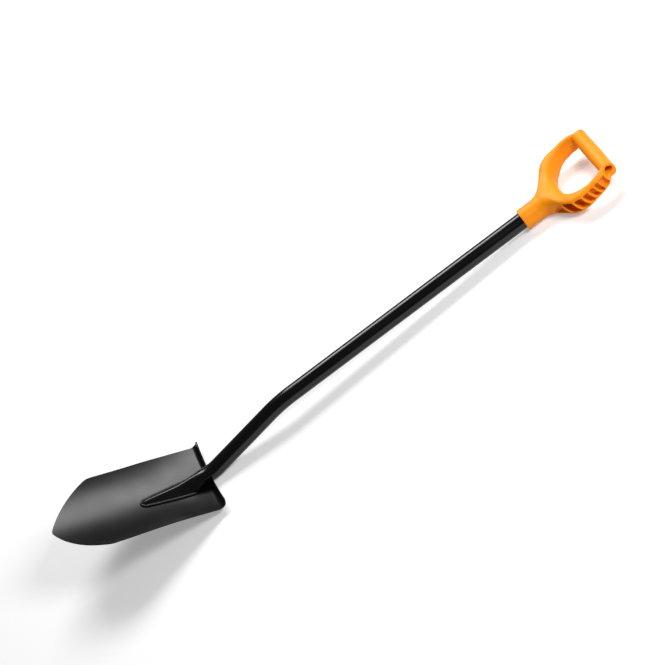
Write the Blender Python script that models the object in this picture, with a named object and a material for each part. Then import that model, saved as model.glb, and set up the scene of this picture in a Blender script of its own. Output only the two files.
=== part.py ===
"""Pointed spade: a pressed blade, a bent tube for a shaft, two weld beads, a D grip and its screw.

Metres, +Z up. The pieces are laid out in the frame of the shaft: its main bend is the origin, +Y runs
along the straight upper tube to the grip and +Z is the hollow side of the blade. An empty then lays
the whole spade on its back, touching the ground with the heel of the blade and the fork of the grip.
"""

import math

import bmesh
import bpy
import numpy as np
from mathutils import Matrix, Vector

MM = 0.001
GAP = 0.3 * MM
CUT_BEYOND = 5.0 * MM

# Shaft: a round tube with a main bend, a neck bend at the heel of the blade and a flattened nose
TUBE_RADIUS = 15.0 * MM
TUBE_WALL = 1.5 * MM
TUBE_TOP = 598.0 * MM
TUBE_SIDES = 32
MAIN_BEND_ANGLE = math.radians(11.33)
MAIN_BEND_RADIUS = 267.0 * MM
MAIN_BEND_STEPS = 7
NECK_BEND_RADIUS = 55.0 * MM
NECK_BEND_STEPS = 9
NECK_FROM_MAIN_BEND = 175.3 * MM
NECK_BEHIND_FOLD = 14.3 * MM
NOSE_LENGTH = 118.3 * MM
NOSE_END_RADIUS = 6.0 * MM
NOSE_DISTANCE = (2.0, 12.0, 25.0, 50.0, 70.0, 90.0, 109.0, 118.3)
NOSE_HALF_WIDTH = (15.0, 17.5, 20.5, 18.2, 15.8, 12.8, 9.8, 8.0)
NOSE_HEIGHT = (30.0, 24.5, 19.0, 12.6, 9.8, 7.6, 5.2, 2.8)
NOSE_MIDDLE = (15.0, 9.5, 3.4, 1.9, 1.7, 1.6, 1.5, 1.2)
NOSE_END_SOFTNESS = 1.5 * MM
NOSE_SETTLE = 18.0 * MM
NOSE_TIP_HEIGHT = 1.4 * MM
NOSE_RINGS = (5.0, 9.0, 13.0, 18.0, 24.0, 32.0, 42.0, 53.0, 65.0, 77.0, 88.0, 98.0, 106.0, 111.5,
              115.0, 117.2, 118.1)

# Blade: dished sheet, straight sides, then two arcs to the point. Distances run from the fold
BLADE_PITCH = math.radians(21.43)
BLADE_THICKNESS = 1.8 * MM
BLADE_LENGTH = 280.85 * MM
SIDE_LENGTH = 192.0 * MM
SIDE_STATION = (0.0, 45.0, 95.0, 192.0)
SIDE_HALF_WIDTH = (92.5, 92.2, 92.7, 95.7)
SIDE_DISH = (9.2, 13.2, 16.2, 17.4)
HALF_WIDTH_AT_FOLD = SIDE_HALF_WIDTH[0] * MM
HALF_WIDTH_AT_SHOULDER = SIDE_HALF_WIDTH[-1] * MM
LENGTHWISE_CURVE = 0.1667
POINT_ARC_RADIUS = 185.0 * MM
POINT_ARCS_BEYOND_TIP = 1.3 * MM
SHOULDER_SOFTNESS = 2.2 * MM
BLADE_COLUMNS = 15
CORNER_COLUMNS = (0.0, 0.12, 0.4)
SIDE_ROWS = (0.0, 0.04, 0.115, 0.23, 0.365, 0.51, 0.655, 0.79, 0.885, 0.948, 0.99)
POINT_ROWS = (0.045, 0.11, 0.20, 0.30, 0.405, 0.505, 0.61, 0.70, 0.775, 0.845, 0.90, 0.945, 0.975, 0.993)

# Treads: the sheet is turned forward at the fold and ends in a flat lip
TREAD_BEND_RADIUS = 9.0 * MM
TREAD_BEND_ANGLE = math.radians(76.0)
TREAD_LIP = 7.4 * MM
TREAD_CORNER_RADIUS = 7.0 * MM
TREAD_ARC_STEPS = 6
TREAD_LIP_STEPS = 2

# Weld beads
BEAD_LEG = 3.6 * MM
BEAD_SHAPE = ((1.0, 0.0), (0.78, 0.42), (0.42, 0.86))
BEAD_RISE_SHARE = 0.62
BEAD_MOST_LEAN = 0.5 * MM
BEAD_START = 22.0 * MM
NOSE_BEAD_STEPS = 18
NECK_BEAD_LEG = 3.0 * MM
NECK_BEAD_SHAPE = ((1.0, 0.0), (0.55, 0.4), (0.25, 0.75), (0.0, 1.0))
NECK_BEAD_HALF_ANGLE = math.radians(58.0)
NECK_BEAD_STEPS = 16
NECK_BEAD_SEARCH = (-0.4, math.radians(32.0))

# D grip: sections along the shaft give half width, half depth, middle height and squareness
GRIP_START = 529.5 * MM
COLLAR_RADIUS = 18.3 * MM
COLLAR_EDGE = 1.2 * MM
GRIP_STATION = (545.0, 556.0, 566.0, 576.0, 584.0, 591.0, 601.0, 610.0, 632.0, 657.0, 678.0, 689.4)
GRIP_HALF_WIDTH = (18.3, 18.3, 20.6, 27.0, 36.0, 46.5, 61.0, 69.0, 75.4, 76.3, 73.0, 64.5)
GRIP_HALF_DEPTH = (18.3, 18.3, 18.7, 19.4, 19.0, 19.0, 21.0, 23.4, 25.5, 24.0, 19.4, 15.2)
GRIP_MIDDLE = (0.0, 0.0, 0.0, 0.0, 1.0, 2.8, 5.5, 7.8, 11.2, 16.0, 20.5, 23.2)
GRIP_SQUARENESS = (2.0, 2.0, 2.1, 2.4, 2.8, 3.2, 3.6, 3.8, 4.0, 4.0, 4.4, 6.0)
GRIP_ROWS = (545.0, 556.0, 563.0, 570.0, 577.0, 584.0, 591.0, 597.0, 603.0, 610.0, 619.0, 632.0, 645.0,
             657.0, 668.0, 678.0, 684.5, 689.4)
GRIP_SIDES = 44
TOP_ROWS = (25.0, 48.0, 67.0, 80.0)
EAR_NARROWING = 3.0 * MM
SOCKET_END = TUBE_TOP + GAP

# Cross bar of the grip, a hollow barrel with a web in the middle
BAR_ALONG = 689.8 * MM
BAR_MIDDLE = 25.0 * MM
BAR_HALF_LENGTH = 62.5 * MM
BAR_END_RADIUS = 12.9 * MM
EAR_RISE = BAR_END_RADIUS + GAP
BAR_MIDDLE_RADIUS = 13.3 * MM
BAR_SIDES = 40
BAR_STEPS = 9
BAR_BORE_RADIUS = 8.6 * MM
BAR_WEB = 4.0 * MM

# Hand opening: half widths at mid depth from the fork up, how far its rounded wall flares to the front
# and to the back at some places along, and how far its edge is rounded over on the front
OPENING_ALONG = (608.5, 609.8, 612.5, 617.0, 624.0, 633.0, 642.0, 653.0, 665.0, 676.0)
OPENING_HALF_WIDTH = (0.0, 17.0, 29.0, 38.5, 47.5, 54.5, 59.0, 61.3, 61.0, 58.0)
OPENING_TOP = 725.0 * MM
OPENING_TOP_INSET = 1.0 * MM
OPENING_FLARE_ALONG = (590.0, 622.0, 650.0, 690.0)
OPENING_FLARE = (26.0, 19.0, 10.5, 5.0)
OPENING_BACK_FLARE = (9.7, 9.7, 9.7, 3.0)
OPENING_LEAST_DEPTH = 12.0 * MM
OPENING_BACK_INSET = 5.0 * MM
OPENING_FRONT_INSET = 2.5 * MM
OPENING_CREST = 3.2 * MM
OPENING_DROP_ALONG = (608.5, 617.0, 640.0)
OPENING_DROP = (8.0, 6.5, 0.0)
OPENING_REACH = 48.0 * MM
OPENING_ANGLES = (-90.0, -70.0, -48.0, -24.0, 0.0, 24.0, 48.0, 70.0, 90.0)

# Outer channels of the legs: pockets between ribs that lean toward the bar at the back
RIB_ALONG = (592.0, 610.0, 627.0, 641.0, 653.5, 665.0)
RIB_THICKNESS = 2.4 * MM
RIB_LEAN_ALONG = (590.0, 650.0, 680.0)
RIB_LEAN = (9.4, 8.5, 6.0)
RIB_LEAN_POWER = 1.6
POCKETS_START = 583.0 * MM
POCKETS_END = 677.6 * MM
POCKET_FRONT = 11.0 * MM
POCKET_BACK_WALL = 5.0 * MM
POCKET_BACK = 12.5 * MM
POCKET_REACH = 95.0 * MM
POCKET_STEPS = 3
POCKET_FLOOR_ALONG = (583.0, 597.0, 609.0, 617.0, 625.0, 634.0, 648.0, 665.0, 677.0)
POCKET_FLOOR = (26.0, 33.0, 42.0, 50.0, 56.0, 61.0, 65.5, 66.0, 64.0)

# Screw at the back of the collar
SCREW_ALONG = 545.0 * MM
SCREW_HEAD_RADIUS = 4.0 * MM
SCREW_HEAD_HEIGHT = 1.6 * MM
SCREW_SHANK_RADIUS = 1.9 * MM
SCREW_LENGTH = 9.0 * MM
SCREW_SLOT_WIDTH = 1.0 * MM
SCREW_SLOT_DEPTH = 0.8 * MM
SCREW_SLOT_SHARE = 0.68
SCREW_SIDES = 24

COAT = (0.016, 0.016, 0.018)
ORANGE = (0.93, 0.33, 0.02)
ZINC = (0.62, 0.62, 0.60)

X_AXIS = np.array([1.0, 0.0, 0.0])
Y_AXIS = np.array([0.0, 1.0, 0.0])
Z_AXIS = np.array([0.0, 0.0, 1.0])


def curve_through(stations, values, at):
    """A smooth curve through a few stations, with no overshoot between them."""
    x = np.asarray(stations, float)
    y = np.asarray(values, float)
    at = np.clip(np.asarray(at, float), x[0], x[-1])
    step = np.diff(x)
    slope = np.diff(y) / step
    tangent = np.empty_like(y)
    tangent[0] = slope[0]
    tangent[-1] = slope[-1]
    rising = slope[:-1] * slope[1:] > 0
    weight_a = 2 * step[1:] + step[:-1]
    weight_b = step[1:] + 2 * step[:-1]
    safe_a = np.where(rising, slope[:-1], 1.0)
    safe_b = np.where(rising, slope[1:], 1.0)
    mean = (weight_a + weight_b) / (weight_a / safe_a + weight_b / safe_b)
    tangent[1:-1] = np.where(rising, mean, 0.0)
    i = np.clip(np.searchsorted(x, at, side="right") - 1, 0, len(x) - 2)
    t = (at - x[i]) / step[i]
    return (y[i] * (1 + 2 * t) * (1 - t) ** 2 + tangent[i] * step[i] * t * (1 - t) ** 2
            + y[i + 1] * t * t * (3 - 2 * t) + tangent[i + 1] * step[i] * t * t * (t - 1))


def soft_min(a, b, softness):
    return 0.5 * (a + b - np.sqrt((a - b) ** 2 + softness ** 2))


def grid_faces(rows, columns, closed, first=0):
    """Quads between successive rows of points, each row closed into a ring or open."""
    faces = []
    for i in range(rows - 1):
        for j in range(columns if closed else columns - 1):
            k = (j + 1) % columns
            a = first + i * columns
            b = a + columns
            faces.append((a + j, a + k, b + k, b + j))
    return faces


def make_object(name, points, faces):
    mesh = bpy.data.meshes.new(name)
    mesh.from_pydata([tuple(p) for p in points], [], faces)
    work = bmesh.new()
    work.from_mesh(mesh)
    bmesh.ops.triangulate(work, faces=work.faces)
    bmesh.ops.recalc_face_normals(work, faces=work.faces)
    if work.calc_volume(signed=True) < 0:
        bmesh.ops.reverse_faces(work, faces=work.faces)
    work.to_mesh(mesh)
    work.free()
    obj = bpy.data.objects.new(name, mesh)
    bpy.context.scene.collection.objects.link(obj)
    mesh.shade_smooth()
    mesh.set_sharp_from_angle(angle=math.radians(35))
    return obj


def loft(rings, start_point=None, end_point=None):
    """A closed tube through rings of equally many points, with flat or pointed ends."""
    count = len(rings[0])
    points = [p for ring in rings for p in ring]
    faces = grid_faces(len(rings), count, True)
    last = (len(rings) - 1) * count
    if start_point is None:
        faces.append(tuple(range(count)))
    else:
        points.append(start_point)
        tip = len(points) - 1
        faces += [(tip, j, (j + 1) % count) for j in range(count)]
    if end_point is None:
        faces.append(tuple(last + j for j in range(count)))
    else:
        points.append(end_point)
        tip = len(points) - 1
        faces += [(tip, last + j, last + (j + 1) % count) for j in range(count)]
    return points, faces


def joined(shapes):
    """Several shapes of points and faces as one."""
    points = []
    faces = []
    for more_points, more_faces in shapes:
        base = len(points)
        points += list(more_points)
        faces += [tuple(base + i for i in face) for face in more_faces]
    return points, faces


def cylinder(start, end, radius, sides):
    start = np.asarray(start, float)
    end = np.asarray(end, float)
    along = (end - start) / np.linalg.norm(end - start)
    side = np.cross(along, Z_AXIS if abs(along[2]) < 0.9 else X_AXIS)
    side /= np.linalg.norm(side)
    up = np.cross(side, along)
    rings = []
    for centre in (start, end):
        ring = []
        for i in range(sides):
            angle = 2 * math.pi * i / sides
            ring.append(centre + radius * (math.cos(angle) * side + math.sin(angle) * up))
        rings.append(ring)
    return loft(rings)


def paint(obj, name, colour, roughness, metallic):
    material = bpy.data.materials.get(name)
    if material is None:
        material = bpy.data.materials.new(name)
        material.use_nodes = True
        shader = material.node_tree.nodes["Principled BSDF"]
        shader.inputs["Base Color"].default_value = (*colour, 1.0)
        shader.inputs["Roughness"].default_value = roughness
        shader.inputs["Metallic"].default_value = metallic
        material.diffuse_color = (*colour, 1.0)
    obj.data.materials.clear()
    obj.data.materials.append(material)


def boolean(obj, other, operation):
    modifier = obj.modifiers.new(operation.title(), "BOOLEAN")
    modifier.object = other
    modifier.operation = operation
    modifier.solver = "EXACT"
    other.hide_render = True
    other.display_type = "WIRE"


# Blade surface, in distances across (x), from the fold toward the point (s) and off the sheet (h)

def half_width(s):
    """Half the width of the blade at a distance from the fold. The arcs of the point would meet a
    little beyond the tip, which rounds it."""
    tip = BLADE_LENGTH + POINT_ARCS_BEYOND_TIP
    chord = np.array([tip - SIDE_LENGTH, -HALF_WIDTH_AT_SHOULDER])
    length = np.linalg.norm(chord)
    outward = np.array([-chord[1], chord[0]]) / length
    back = math.sqrt(POINT_ARC_RADIUS ** 2 - (length / 2) ** 2)
    middle = np.array([SIDE_LENGTH + tip, HALF_WIDTH_AT_SHOULDER]) / 2
    centre = middle - outward * back
    side = float(curve_through(SIDE_STATION, SIDE_HALF_WIDTH, s / MM)) * MM
    if s < centre[0]:
        return side

    def arc(at):
        return centre[1] + math.sqrt(max(POINT_ARC_RADIUS ** 2 - (at - centre[0]) ** 2, 0.0))

    rounded = soft_min(side, arc(s), SHOULDER_SOFTNESS)
    return math.sqrt(max(rounded ** 2 - arc(BLADE_LENGTH) ** 2, 0.0))


def dish_factor(s):
    """The sheet's height over its middle is this times the square of the distance across."""
    dish = float(curve_through(SIDE_STATION, SIDE_DISH, s / MM)) * MM
    edge = float(curve_through(SIDE_STATION, SIDE_HALF_WIDTH, s / MM)) * MM
    return dish / edge ** 2


def sheet_height(x, s):
    """Height of the front of the sheet over its tangent plane at the fold."""
    return dish_factor(s) * x * x + LENGTHWISE_CURVE * max(s, 0.0) ** 2


def sheet_point(x, along):
    """Front of the sheet in the blade's own frame: toward the point for positive distances, and
    round the tread's bend and up its lip for negative ones."""
    if along >= 0:
        return np.array([x, -along, sheet_height(x, along)])
    run = -along
    arc = TREAD_BEND_RADIUS * TREAD_BEND_ANGLE
    angle = min(run, arc) / TREAD_BEND_RADIUS
    behind = TREAD_BEND_RADIUS * math.sin(angle)
    height = TREAD_BEND_RADIUS * (1 - math.cos(angle))
    beyond = max(run - arc, 0.0)
    behind += beyond * math.cos(TREAD_BEND_ANGLE)
    height += beyond * math.sin(TREAD_BEND_ANGLE)
    part = min(run / arc, 1.0)
    eased = part * part * (3 - 2 * part)
    rise = sheet_height(x, 0.0)
    return np.array([x, behind + rise * eased / math.tan(TREAD_BEND_ANGLE), height + rise])


def sheet_normal(x, along):
    """Normal of the front of the sheet, taken past the end of the bend on the flat lip."""
    step = 0.02 * MM
    if along <= -TREAD_BEND_RADIUS * TREAD_BEND_ANGLE + step:
        along -= 2 * step
    across = sheet_point(x + step, along) - sheet_point(x - step, along)
    down = sheet_point(x, along + step) - sheet_point(x, along - step)
    normal = np.cross(down, across)
    return normal / np.linalg.norm(normal)


def tread_length(x):
    """Developed length of the tread, shorter where its outer corner is rounded."""
    full = TREAD_BEND_RADIUS * TREAD_BEND_ANGLE + TREAD_LIP
    into = abs(x) - (HALF_WIDTH_AT_FOLD - TREAD_CORNER_RADIUS)
    if into <= 0:
        return full
    into = min(into, TREAD_CORNER_RADIUS)
    return full - TREAD_CORNER_RADIUS + math.sqrt(TREAD_CORNER_RADIUS ** 2 - into ** 2)


def blade_columns():
    """Fractions of the half width, with columns where the tread corners start."""
    corner = 1 - TREAD_CORNER_RADIUS / HALF_WIDTH_AT_FOLD
    inner = np.linspace(-corner, corner, BLADE_COLUMNS)
    edge = 1 - (1 - corner) * np.array(CORNER_COLUMNS)
    return np.concatenate([-edge, inner, edge[::-1]])


def build_blade():
    columns = blade_columns()
    arc = TREAD_BEND_RADIUS * TREAD_BEND_ANGLE
    full = arc + TREAD_LIP
    runs = [full - TREAD_LIP * i / TREAD_LIP_STEPS for i in range(TREAD_LIP_STEPS)]
    runs += [arc * (1 - i / TREAD_ARC_STEPS) for i in range(TREAD_ARC_STEPS)]
    places = []
    for run in runs:
        for part in columns:
            x = part * HALF_WIDTH_AT_FOLD
            places.append((x, -run * tread_length(x) / full))
    stations = [share * SIDE_LENGTH for share in SIDE_ROWS]
    stations += [SIDE_LENGTH + share * (BLADE_LENGTH - SIDE_LENGTH) for share in POINT_ROWS]
    for s in stations:
        for part in columns:
            places.append((part * half_width(s), s))
    rows = len(runs) + len(stations)
    count = len(columns)
    places.append((0.0, BLADE_LENGTH))
    front = [sheet_point(x, along) for x, along in places]
    back = [p - BLADE_THICKNESS * sheet_normal(*place) for p, place in zip(front, places)]
    points = front + back
    shift = len(front)
    tip = shift - 1
    faces = grid_faces(rows, count, False)
    last = (rows - 1) * count
    faces += [(last + j, last + j + 1, tip) for j in range(count - 1)]
    faces += [tuple(shift + i for i in reversed(face)) for face in faces]
    rim = list(range(count)) + [i * count + count - 1 for i in range(1, rows)] + [tip]
    rim += [i * count for i in range(rows - 1, 0, -1)]
    for i, a in enumerate(rim):
        b = rim[(i + 1) % len(rim)]
        faces.append((a, b, shift + b, shift + a))
    return points, faces


# Shaft path

def lower_direction():
    return np.array([0.0, -math.cos(MAIN_BEND_ANGLE), -math.sin(MAIN_BEND_ANGLE)])


def fold_centre():
    """Centre of the fold on the front of the blade, found from the tube that lies on it."""
    neck = lower_direction() * NECK_FROM_MAIN_BEND
    return neck + NECK_BEHIND_FOLD * blade_direction() - (TUBE_RADIUS + GAP) * blade_normal()


def blade_direction():
    return np.array([0.0, -math.cos(BLADE_PITCH), math.sin(BLADE_PITCH)])


def blade_normal():
    return np.array([0.0, math.sin(BLADE_PITCH), math.cos(BLADE_PITCH)])


def on_blade(x, s, h):
    return fold_centre() + x * X_AXIS + s * blade_direction() + h * blade_normal()


def bend(corner, inward, outward, radius, steps):
    """Centres and headings along an arc that rounds a corner of the path."""
    turn = math.acos(float(inward @ outward))
    reach = radius * math.tan(turn / 2)
    start = corner - inward * reach
    side = outward - inward * float(inward @ outward)
    side /= np.linalg.norm(side)
    found = []
    for i in range(steps + 1):
        angle = turn * i / steps
        centre = start + radius * (math.sin(angle) * inward + (1 - math.cos(angle)) * side)
        heading = math.cos(angle) * inward + math.sin(angle) * side
        found.append((centre, heading))
    return found


def tube_path():
    """Centres and headings from the open top end to the end of the neck bend."""
    down = lower_direction()
    path = [(TUBE_TOP * Y_AXIS, -Y_AXIS)]
    path += bend(np.zeros(3), -Y_AXIS, down, MAIN_BEND_RADIUS, MAIN_BEND_STEPS)
    neck = down * NECK_FROM_MAIN_BEND
    path += bend(neck, down, blade_direction(), NECK_BEND_RADIUS, NECK_BEND_STEPS)
    return path


def tube_ring(centre, heading, radius, sides=TUBE_SIDES):
    up = np.cross(X_AXIS, heading)
    if up[2] < 0:
        up = -up
    ring = []
    for i in range(sides):
        angle = 2 * math.pi * i / sides
        ring.append(centre + radius * (math.cos(angle) * X_AXIS + math.sin(angle) * up))
    return ring


def nose_half_width(s):
    """Half the width of the nose at a distance from the fold, rounded off toward its end."""
    width = float(curve_through(NOSE_DISTANCE, NOSE_HALF_WIDTH, s / MM)) * MM
    if s < NOSE_LENGTH / 2:
        return width
    end = math.sqrt(max(2 * NOSE_END_RADIUS * (NOSE_LENGTH - s), 0.0))
    return soft_min(width, end, NOSE_END_SOFTNESS)


def nose_heights(s):
    """Height of the top of the nose and of its widest place over the sheet."""
    height = float(curve_through(NOSE_DISTANCE, NOSE_HEIGHT, s / MM)) * MM
    middle = float(curve_through(NOSE_DISTANCE, NOSE_MIDDLE, s / MM)) * MM
    return height, middle


def nose_section(s, angle):
    """A point of the flattened nose: across, and height over the sheet at that place."""
    height, middle = nose_heights(s)
    x = nose_half_width(s) * math.cos(angle)
    up = math.sin(angle)
    if up >= 0:
        return x, middle + (height - middle) * up
    return x, middle * (1 + up)


def nose_ring(s):
    ring = []
    settle = min(max((s - NOSE_DISTANCE[0] * MM) / NOSE_SETTLE, 0.0), 1.0)
    for i in range(TUBE_SIDES):
        x, h = nose_section(s, 2 * math.pi * i / TUBE_SIDES)
        ring.append(on_blade(x, s, GAP + h + settle * sheet_height(x, s)))
    return ring


def build_shaft():
    """One closed body: the outside down to the nose and back, and the bore inside it."""
    path = tube_path()
    outer = [tube_ring(c, heading, TUBE_RADIUS) for c, heading in path]
    outer += [nose_ring(s * MM) for s in NOSE_RINGS]
    tip = on_blade(0.0, NOSE_LENGTH, GAP + NOSE_TIP_HEIGHT + sheet_height(0.0, NOSE_LENGTH))
    inner = [tube_ring(c, heading, TUBE_RADIUS - TUBE_WALL) for c, heading in path]
    points, faces = loft(outer[::-1], start_point=tip, end_point=None)
    faces.pop()
    last = (len(outer) - 1) * TUBE_SIDES
    base = len(points)
    points += [p for ring in inner for p in ring]
    faces += grid_faces(len(inner), TUBE_SIDES, True, first=base)
    for j in range(TUBE_SIDES):
        k = (j + 1) % TUBE_SIDES
        faces.append((last + j, last + k, base + k, base + j))
    end = base + (len(inner) - 1) * TUBE_SIDES
    faces.append(tuple(end + j for j in range(TUBE_SIDES)))
    return points, faces


def build_tube_cutter():
    """The lower tube grown by the gap, for the notch between the treads."""
    path = tube_path()[-NECK_BEND_STEPS - 2:]
    rings = [tube_ring(c, heading, TUBE_RADIUS + GAP) for c, heading in path]
    return loft(rings)


# Weld beads

def build_nose_weld():
    """A bead from one side of the nose round its end to the other."""
    stops = np.linspace(0.0, 1.0, NOSE_BEAD_STEPS)
    places = BEAD_START + (NOSE_LENGTH - BEAD_START) * np.sin(stops * math.pi / 2)
    side = [(nose_half_width(s), s) for s in places[:-1]]
    plan = np.array(side + [(0.0, NOSE_LENGTH)] + [(-x, s) for x, s in side[::-1]])
    rings = []
    for i, (x, s) in enumerate(plan):
        before = plan[max(i - 1, 0)]
        after = plan[min(i + 1, len(plan) - 1)]
        heading = (after - before) / np.linalg.norm(after - before)
        out = np.array([heading[1], -heading[0]])
        if out @ np.array([x, s - NOSE_LENGTH / 2]) < 0:
            out = -out
        height, middle = nose_heights(s)
        rise = min(BEAD_LEG, BEAD_RISE_SHARE * height)
        lean = nose_half_width(s) * (1 - math.sqrt(max(1 - ((rise - middle) / (height - middle)) ** 2, 0)))
        shape = [(BEAD_LEG * outward, rise * up) for outward, up in BEAD_SHAPE]
        shape += [(GAP - min(lean, BEAD_MOST_LEAN), rise), (GAP, rise / 2), (GAP, 0.0)]
        ring = []
        for outward, up in shape:
            px, ps = np.array([x, s]) + out * (outward + GAP / 2)
            ring.append(on_blade(px, ps, GAP + up + sheet_height(px, ps)))
        rings.append(ring)
    return loft(rings)


def tread_back_distance(behind, height):
    """How far a point is outside the back of the tread, at the middle of the blade."""
    outside = TREAD_BEND_RADIUS + BLADE_THICKNESS
    angle = math.atan2(behind, TREAD_BEND_RADIUS - height)
    if 0 <= angle <= TREAD_BEND_ANGLE:
        return math.hypot(behind, TREAD_BEND_RADIUS - height) - outside
    return (behind * math.sin(TREAD_BEND_ANGLE)
            - (height - TREAD_BEND_RADIUS) * math.cos(TREAD_BEND_ANGLE) - outside)


def neck_point(turned, angle):
    """A point of the tube's outside in the neck bend, with its heading and its outward direction."""
    down = lower_direction()
    along = blade_direction()
    total = math.acos(float(down @ along))
    reach = NECK_BEND_RADIUS * math.tan(total / 2)
    start = down * (NECK_FROM_MAIN_BEND - reach)
    side = along - down * float(down @ along)
    side /= np.linalg.norm(side)
    if turned < 0:
        centre = start + down * turned * NECK_BEND_RADIUS
        heading = down
    else:
        centre = start + NECK_BEND_RADIUS * (math.sin(turned) * down + (1 - math.cos(turned)) * side)
        heading = math.cos(turned) * down + math.sin(turned) * side
    up = np.cross(X_AXIS, heading)
    if up[2] < 0:
        up = -up
    out = math.cos(angle) * X_AXIS + math.sin(angle) * up
    return centre + (TUBE_RADIUS + GAP) * out, heading, out


def in_blade(point):
    offset = point - fold_centre()
    return -float(offset @ blade_direction()), float(offset @ blade_normal())


def build_neck_weld():
    """A bead in the corner between the underside of the tube and the back of the treads."""
    rings = []
    for i in range(NECK_BEAD_STEPS + 1):
        angle = -math.pi / 2 + NECK_BEAD_HALF_ANGLE * (2 * i / NECK_BEAD_STEPS - 1)
        low, high = NECK_BEAD_SEARCH
        for _ in range(40):
            mid = (low + high) / 2
            point, heading, out = neck_point(mid, angle)
            if tread_back_distance(*in_blade(point)) > GAP:
                low = mid
            else:
                high = mid
        behind, height = in_blade(point)
        tilt = min(max(math.atan2(behind, TREAD_BEND_RADIUS - height), 0.0), TREAD_BEND_ANGLE)
        away = -blade_direction() * math.sin(tilt) - blade_normal() * math.cos(tilt)
        down_sheet = np.cross(away, np.cross(out, away))
        down_sheet /= np.linalg.norm(down_sheet)
        corner = point + GAP / 3 * (away + out)
        ring = [corner]
        for back, down in NECK_BEAD_SHAPE:
            ring.append(corner + NECK_BEAD_LEG * (down * down_sheet - back * heading))
        rings.append(ring)
    return loft(rings)


# D grip

def grip_value(values, y):
    return curve_through(GRIP_STATION, values, y / MM)


def superellipse(half_x, half_z, squareness, sides):
    ring = []
    for i in range(sides):
        angle = 2 * math.pi * i / sides
        c = math.cos(angle)
        s = math.sin(angle)
        ring.append((math.copysign(abs(c) ** (2 / squareness), c) * half_x,
                     math.copysign(abs(s) ** (2 / squareness), s) * half_z))
    return ring


def grip_ring(y, shrink=0.0):
    half_x = grip_value(GRIP_HALF_WIDTH, y) * MM - shrink
    half_z = grip_value(GRIP_HALF_DEPTH, y) * MM - shrink
    middle = grip_value(GRIP_MIDDLE, y) * MM
    ring = superellipse(half_x, half_z, grip_value(GRIP_SQUARENESS, y), GRIP_SIDES)
    return [np.array([x, y, middle + z]) for x, z in ring]


def build_grip_blank():
    """The outside of the grip with no opening: collar, fork and legs in one, closed over the bar."""
    rings = [grip_ring(GRIP_START, COLLAR_EDGE), grip_ring(GRIP_START + COLLAR_EDGE)]
    rings += [grip_ring(y * MM) for y in GRIP_ROWS]
    top = GRIP_ROWS[-1] * MM
    radius = grip_value(GRIP_HALF_DEPTH, top) * MM
    half = grip_value(GRIP_HALF_WIDTH, top) * MM
    middle = grip_value(GRIP_MIDDLE, top) * MM
    squareness = grip_value(GRIP_SQUARENESS, top)
    for degrees in TOP_ROWS:
        turn = math.radians(degrees)
        narrow = half - EAR_NARROWING * (1 - math.cos(turn))
        ring = superellipse(narrow, radius * math.cos(turn), squareness, GRIP_SIDES)
        rings.append([np.array([x, top + EAR_RISE * math.sin(turn), middle + z]) for x, z in ring])
    return loft(rings)


def build_bar():
    rings = []
    for part in np.linspace(-1, 1, BAR_STEPS):
        radius = BAR_MIDDLE_RADIUS + (BAR_END_RADIUS - BAR_MIDDLE_RADIUS) * part ** 2
        ring = []
        for i in range(BAR_SIDES):
            angle = 2 * math.pi * (i + 0.5) / BAR_SIDES
            ring.append(np.array([part * BAR_HALF_LENGTH, BAR_ALONG + radius * math.cos(angle),
                                  BAR_MIDDLE + radius * math.sin(angle)]))
        rings.append(ring)
    return loft(rings)


def opening_outline():
    """Outline of the hand opening at mid depth, from the fork round one side and back."""
    along = np.array(OPENING_ALONG)
    width = np.array(OPENING_HALF_WIDTH)
    right = [(w * MM, y * MM) for w, y in zip(width, along)]
    right.append((right[-1][0] - OPENING_TOP_INSET, OPENING_TOP))
    left = [(-x, y) for x, y in right[:0:-1]]
    return np.array(right + left)


def build_opening():
    """The hand opening, narrowest at mid depth, with walls that round away to front and back."""
    outline = opening_outline()
    count = len(outline)
    outward = np.empty_like(outline)
    for i in range(count):
        heading = outline[(i + 1) % count] - outline[i - 1]
        outward[i] = np.array([heading[1], -heading[0]]) / np.linalg.norm(heading)
    levels = [(-1.0, 1.0, -OPENING_REACH)]
    for degrees in OPENING_ANGLES:
        turn = math.radians(degrees)
        levels.append((math.sin(turn), 1 - math.cos(turn), 0.0))
    levels.append((1.0, 1.0, OPENING_REACH))
    rings = []
    for level, widening, beyond in levels:
        ring = []
        crest = OPENING_CREST * max(level, 0.0) ** 4
        values = OPENING_FLARE if level > 0 else OPENING_BACK_FLARE
        for (x, y), (out_x, out_y) in zip(outline, outward):
            flare = curve_through(OPENING_FLARE_ALONG, values, y / MM) * MM * widening + crest
            place_y = y + flare * out_y
            middle = grip_value(GRIP_MIDDLE, place_y) * MM
            drop = curve_through(OPENING_DROP_ALONG, OPENING_DROP, y / MM) * MM
            inset = OPENING_FRONT_INSET if level > 0 else OPENING_BACK_INSET
            depth = grip_value(GRIP_HALF_DEPTH, place_y) * MM - inset
            depth = max(depth, OPENING_LEAST_DEPTH) + drop * max(level, 0.0)
            place_x = x + flare * out_x
            ring.append(np.array([place_x, place_y, middle - drop + level * depth + beyond]))
        rings.append(ring)
    return loft(rings)


def pocket_limits(y):
    middle = grip_value(GRIP_MIDDLE, y) * MM
    depth = grip_value(GRIP_HALF_DEPTH, y) * MM
    low = max(-POCKET_BACK, -(depth - POCKET_BACK_WALL))
    return middle + low, middle + min(POCKET_FRONT, depth - 2 * POCKET_BACK_WALL)


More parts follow.
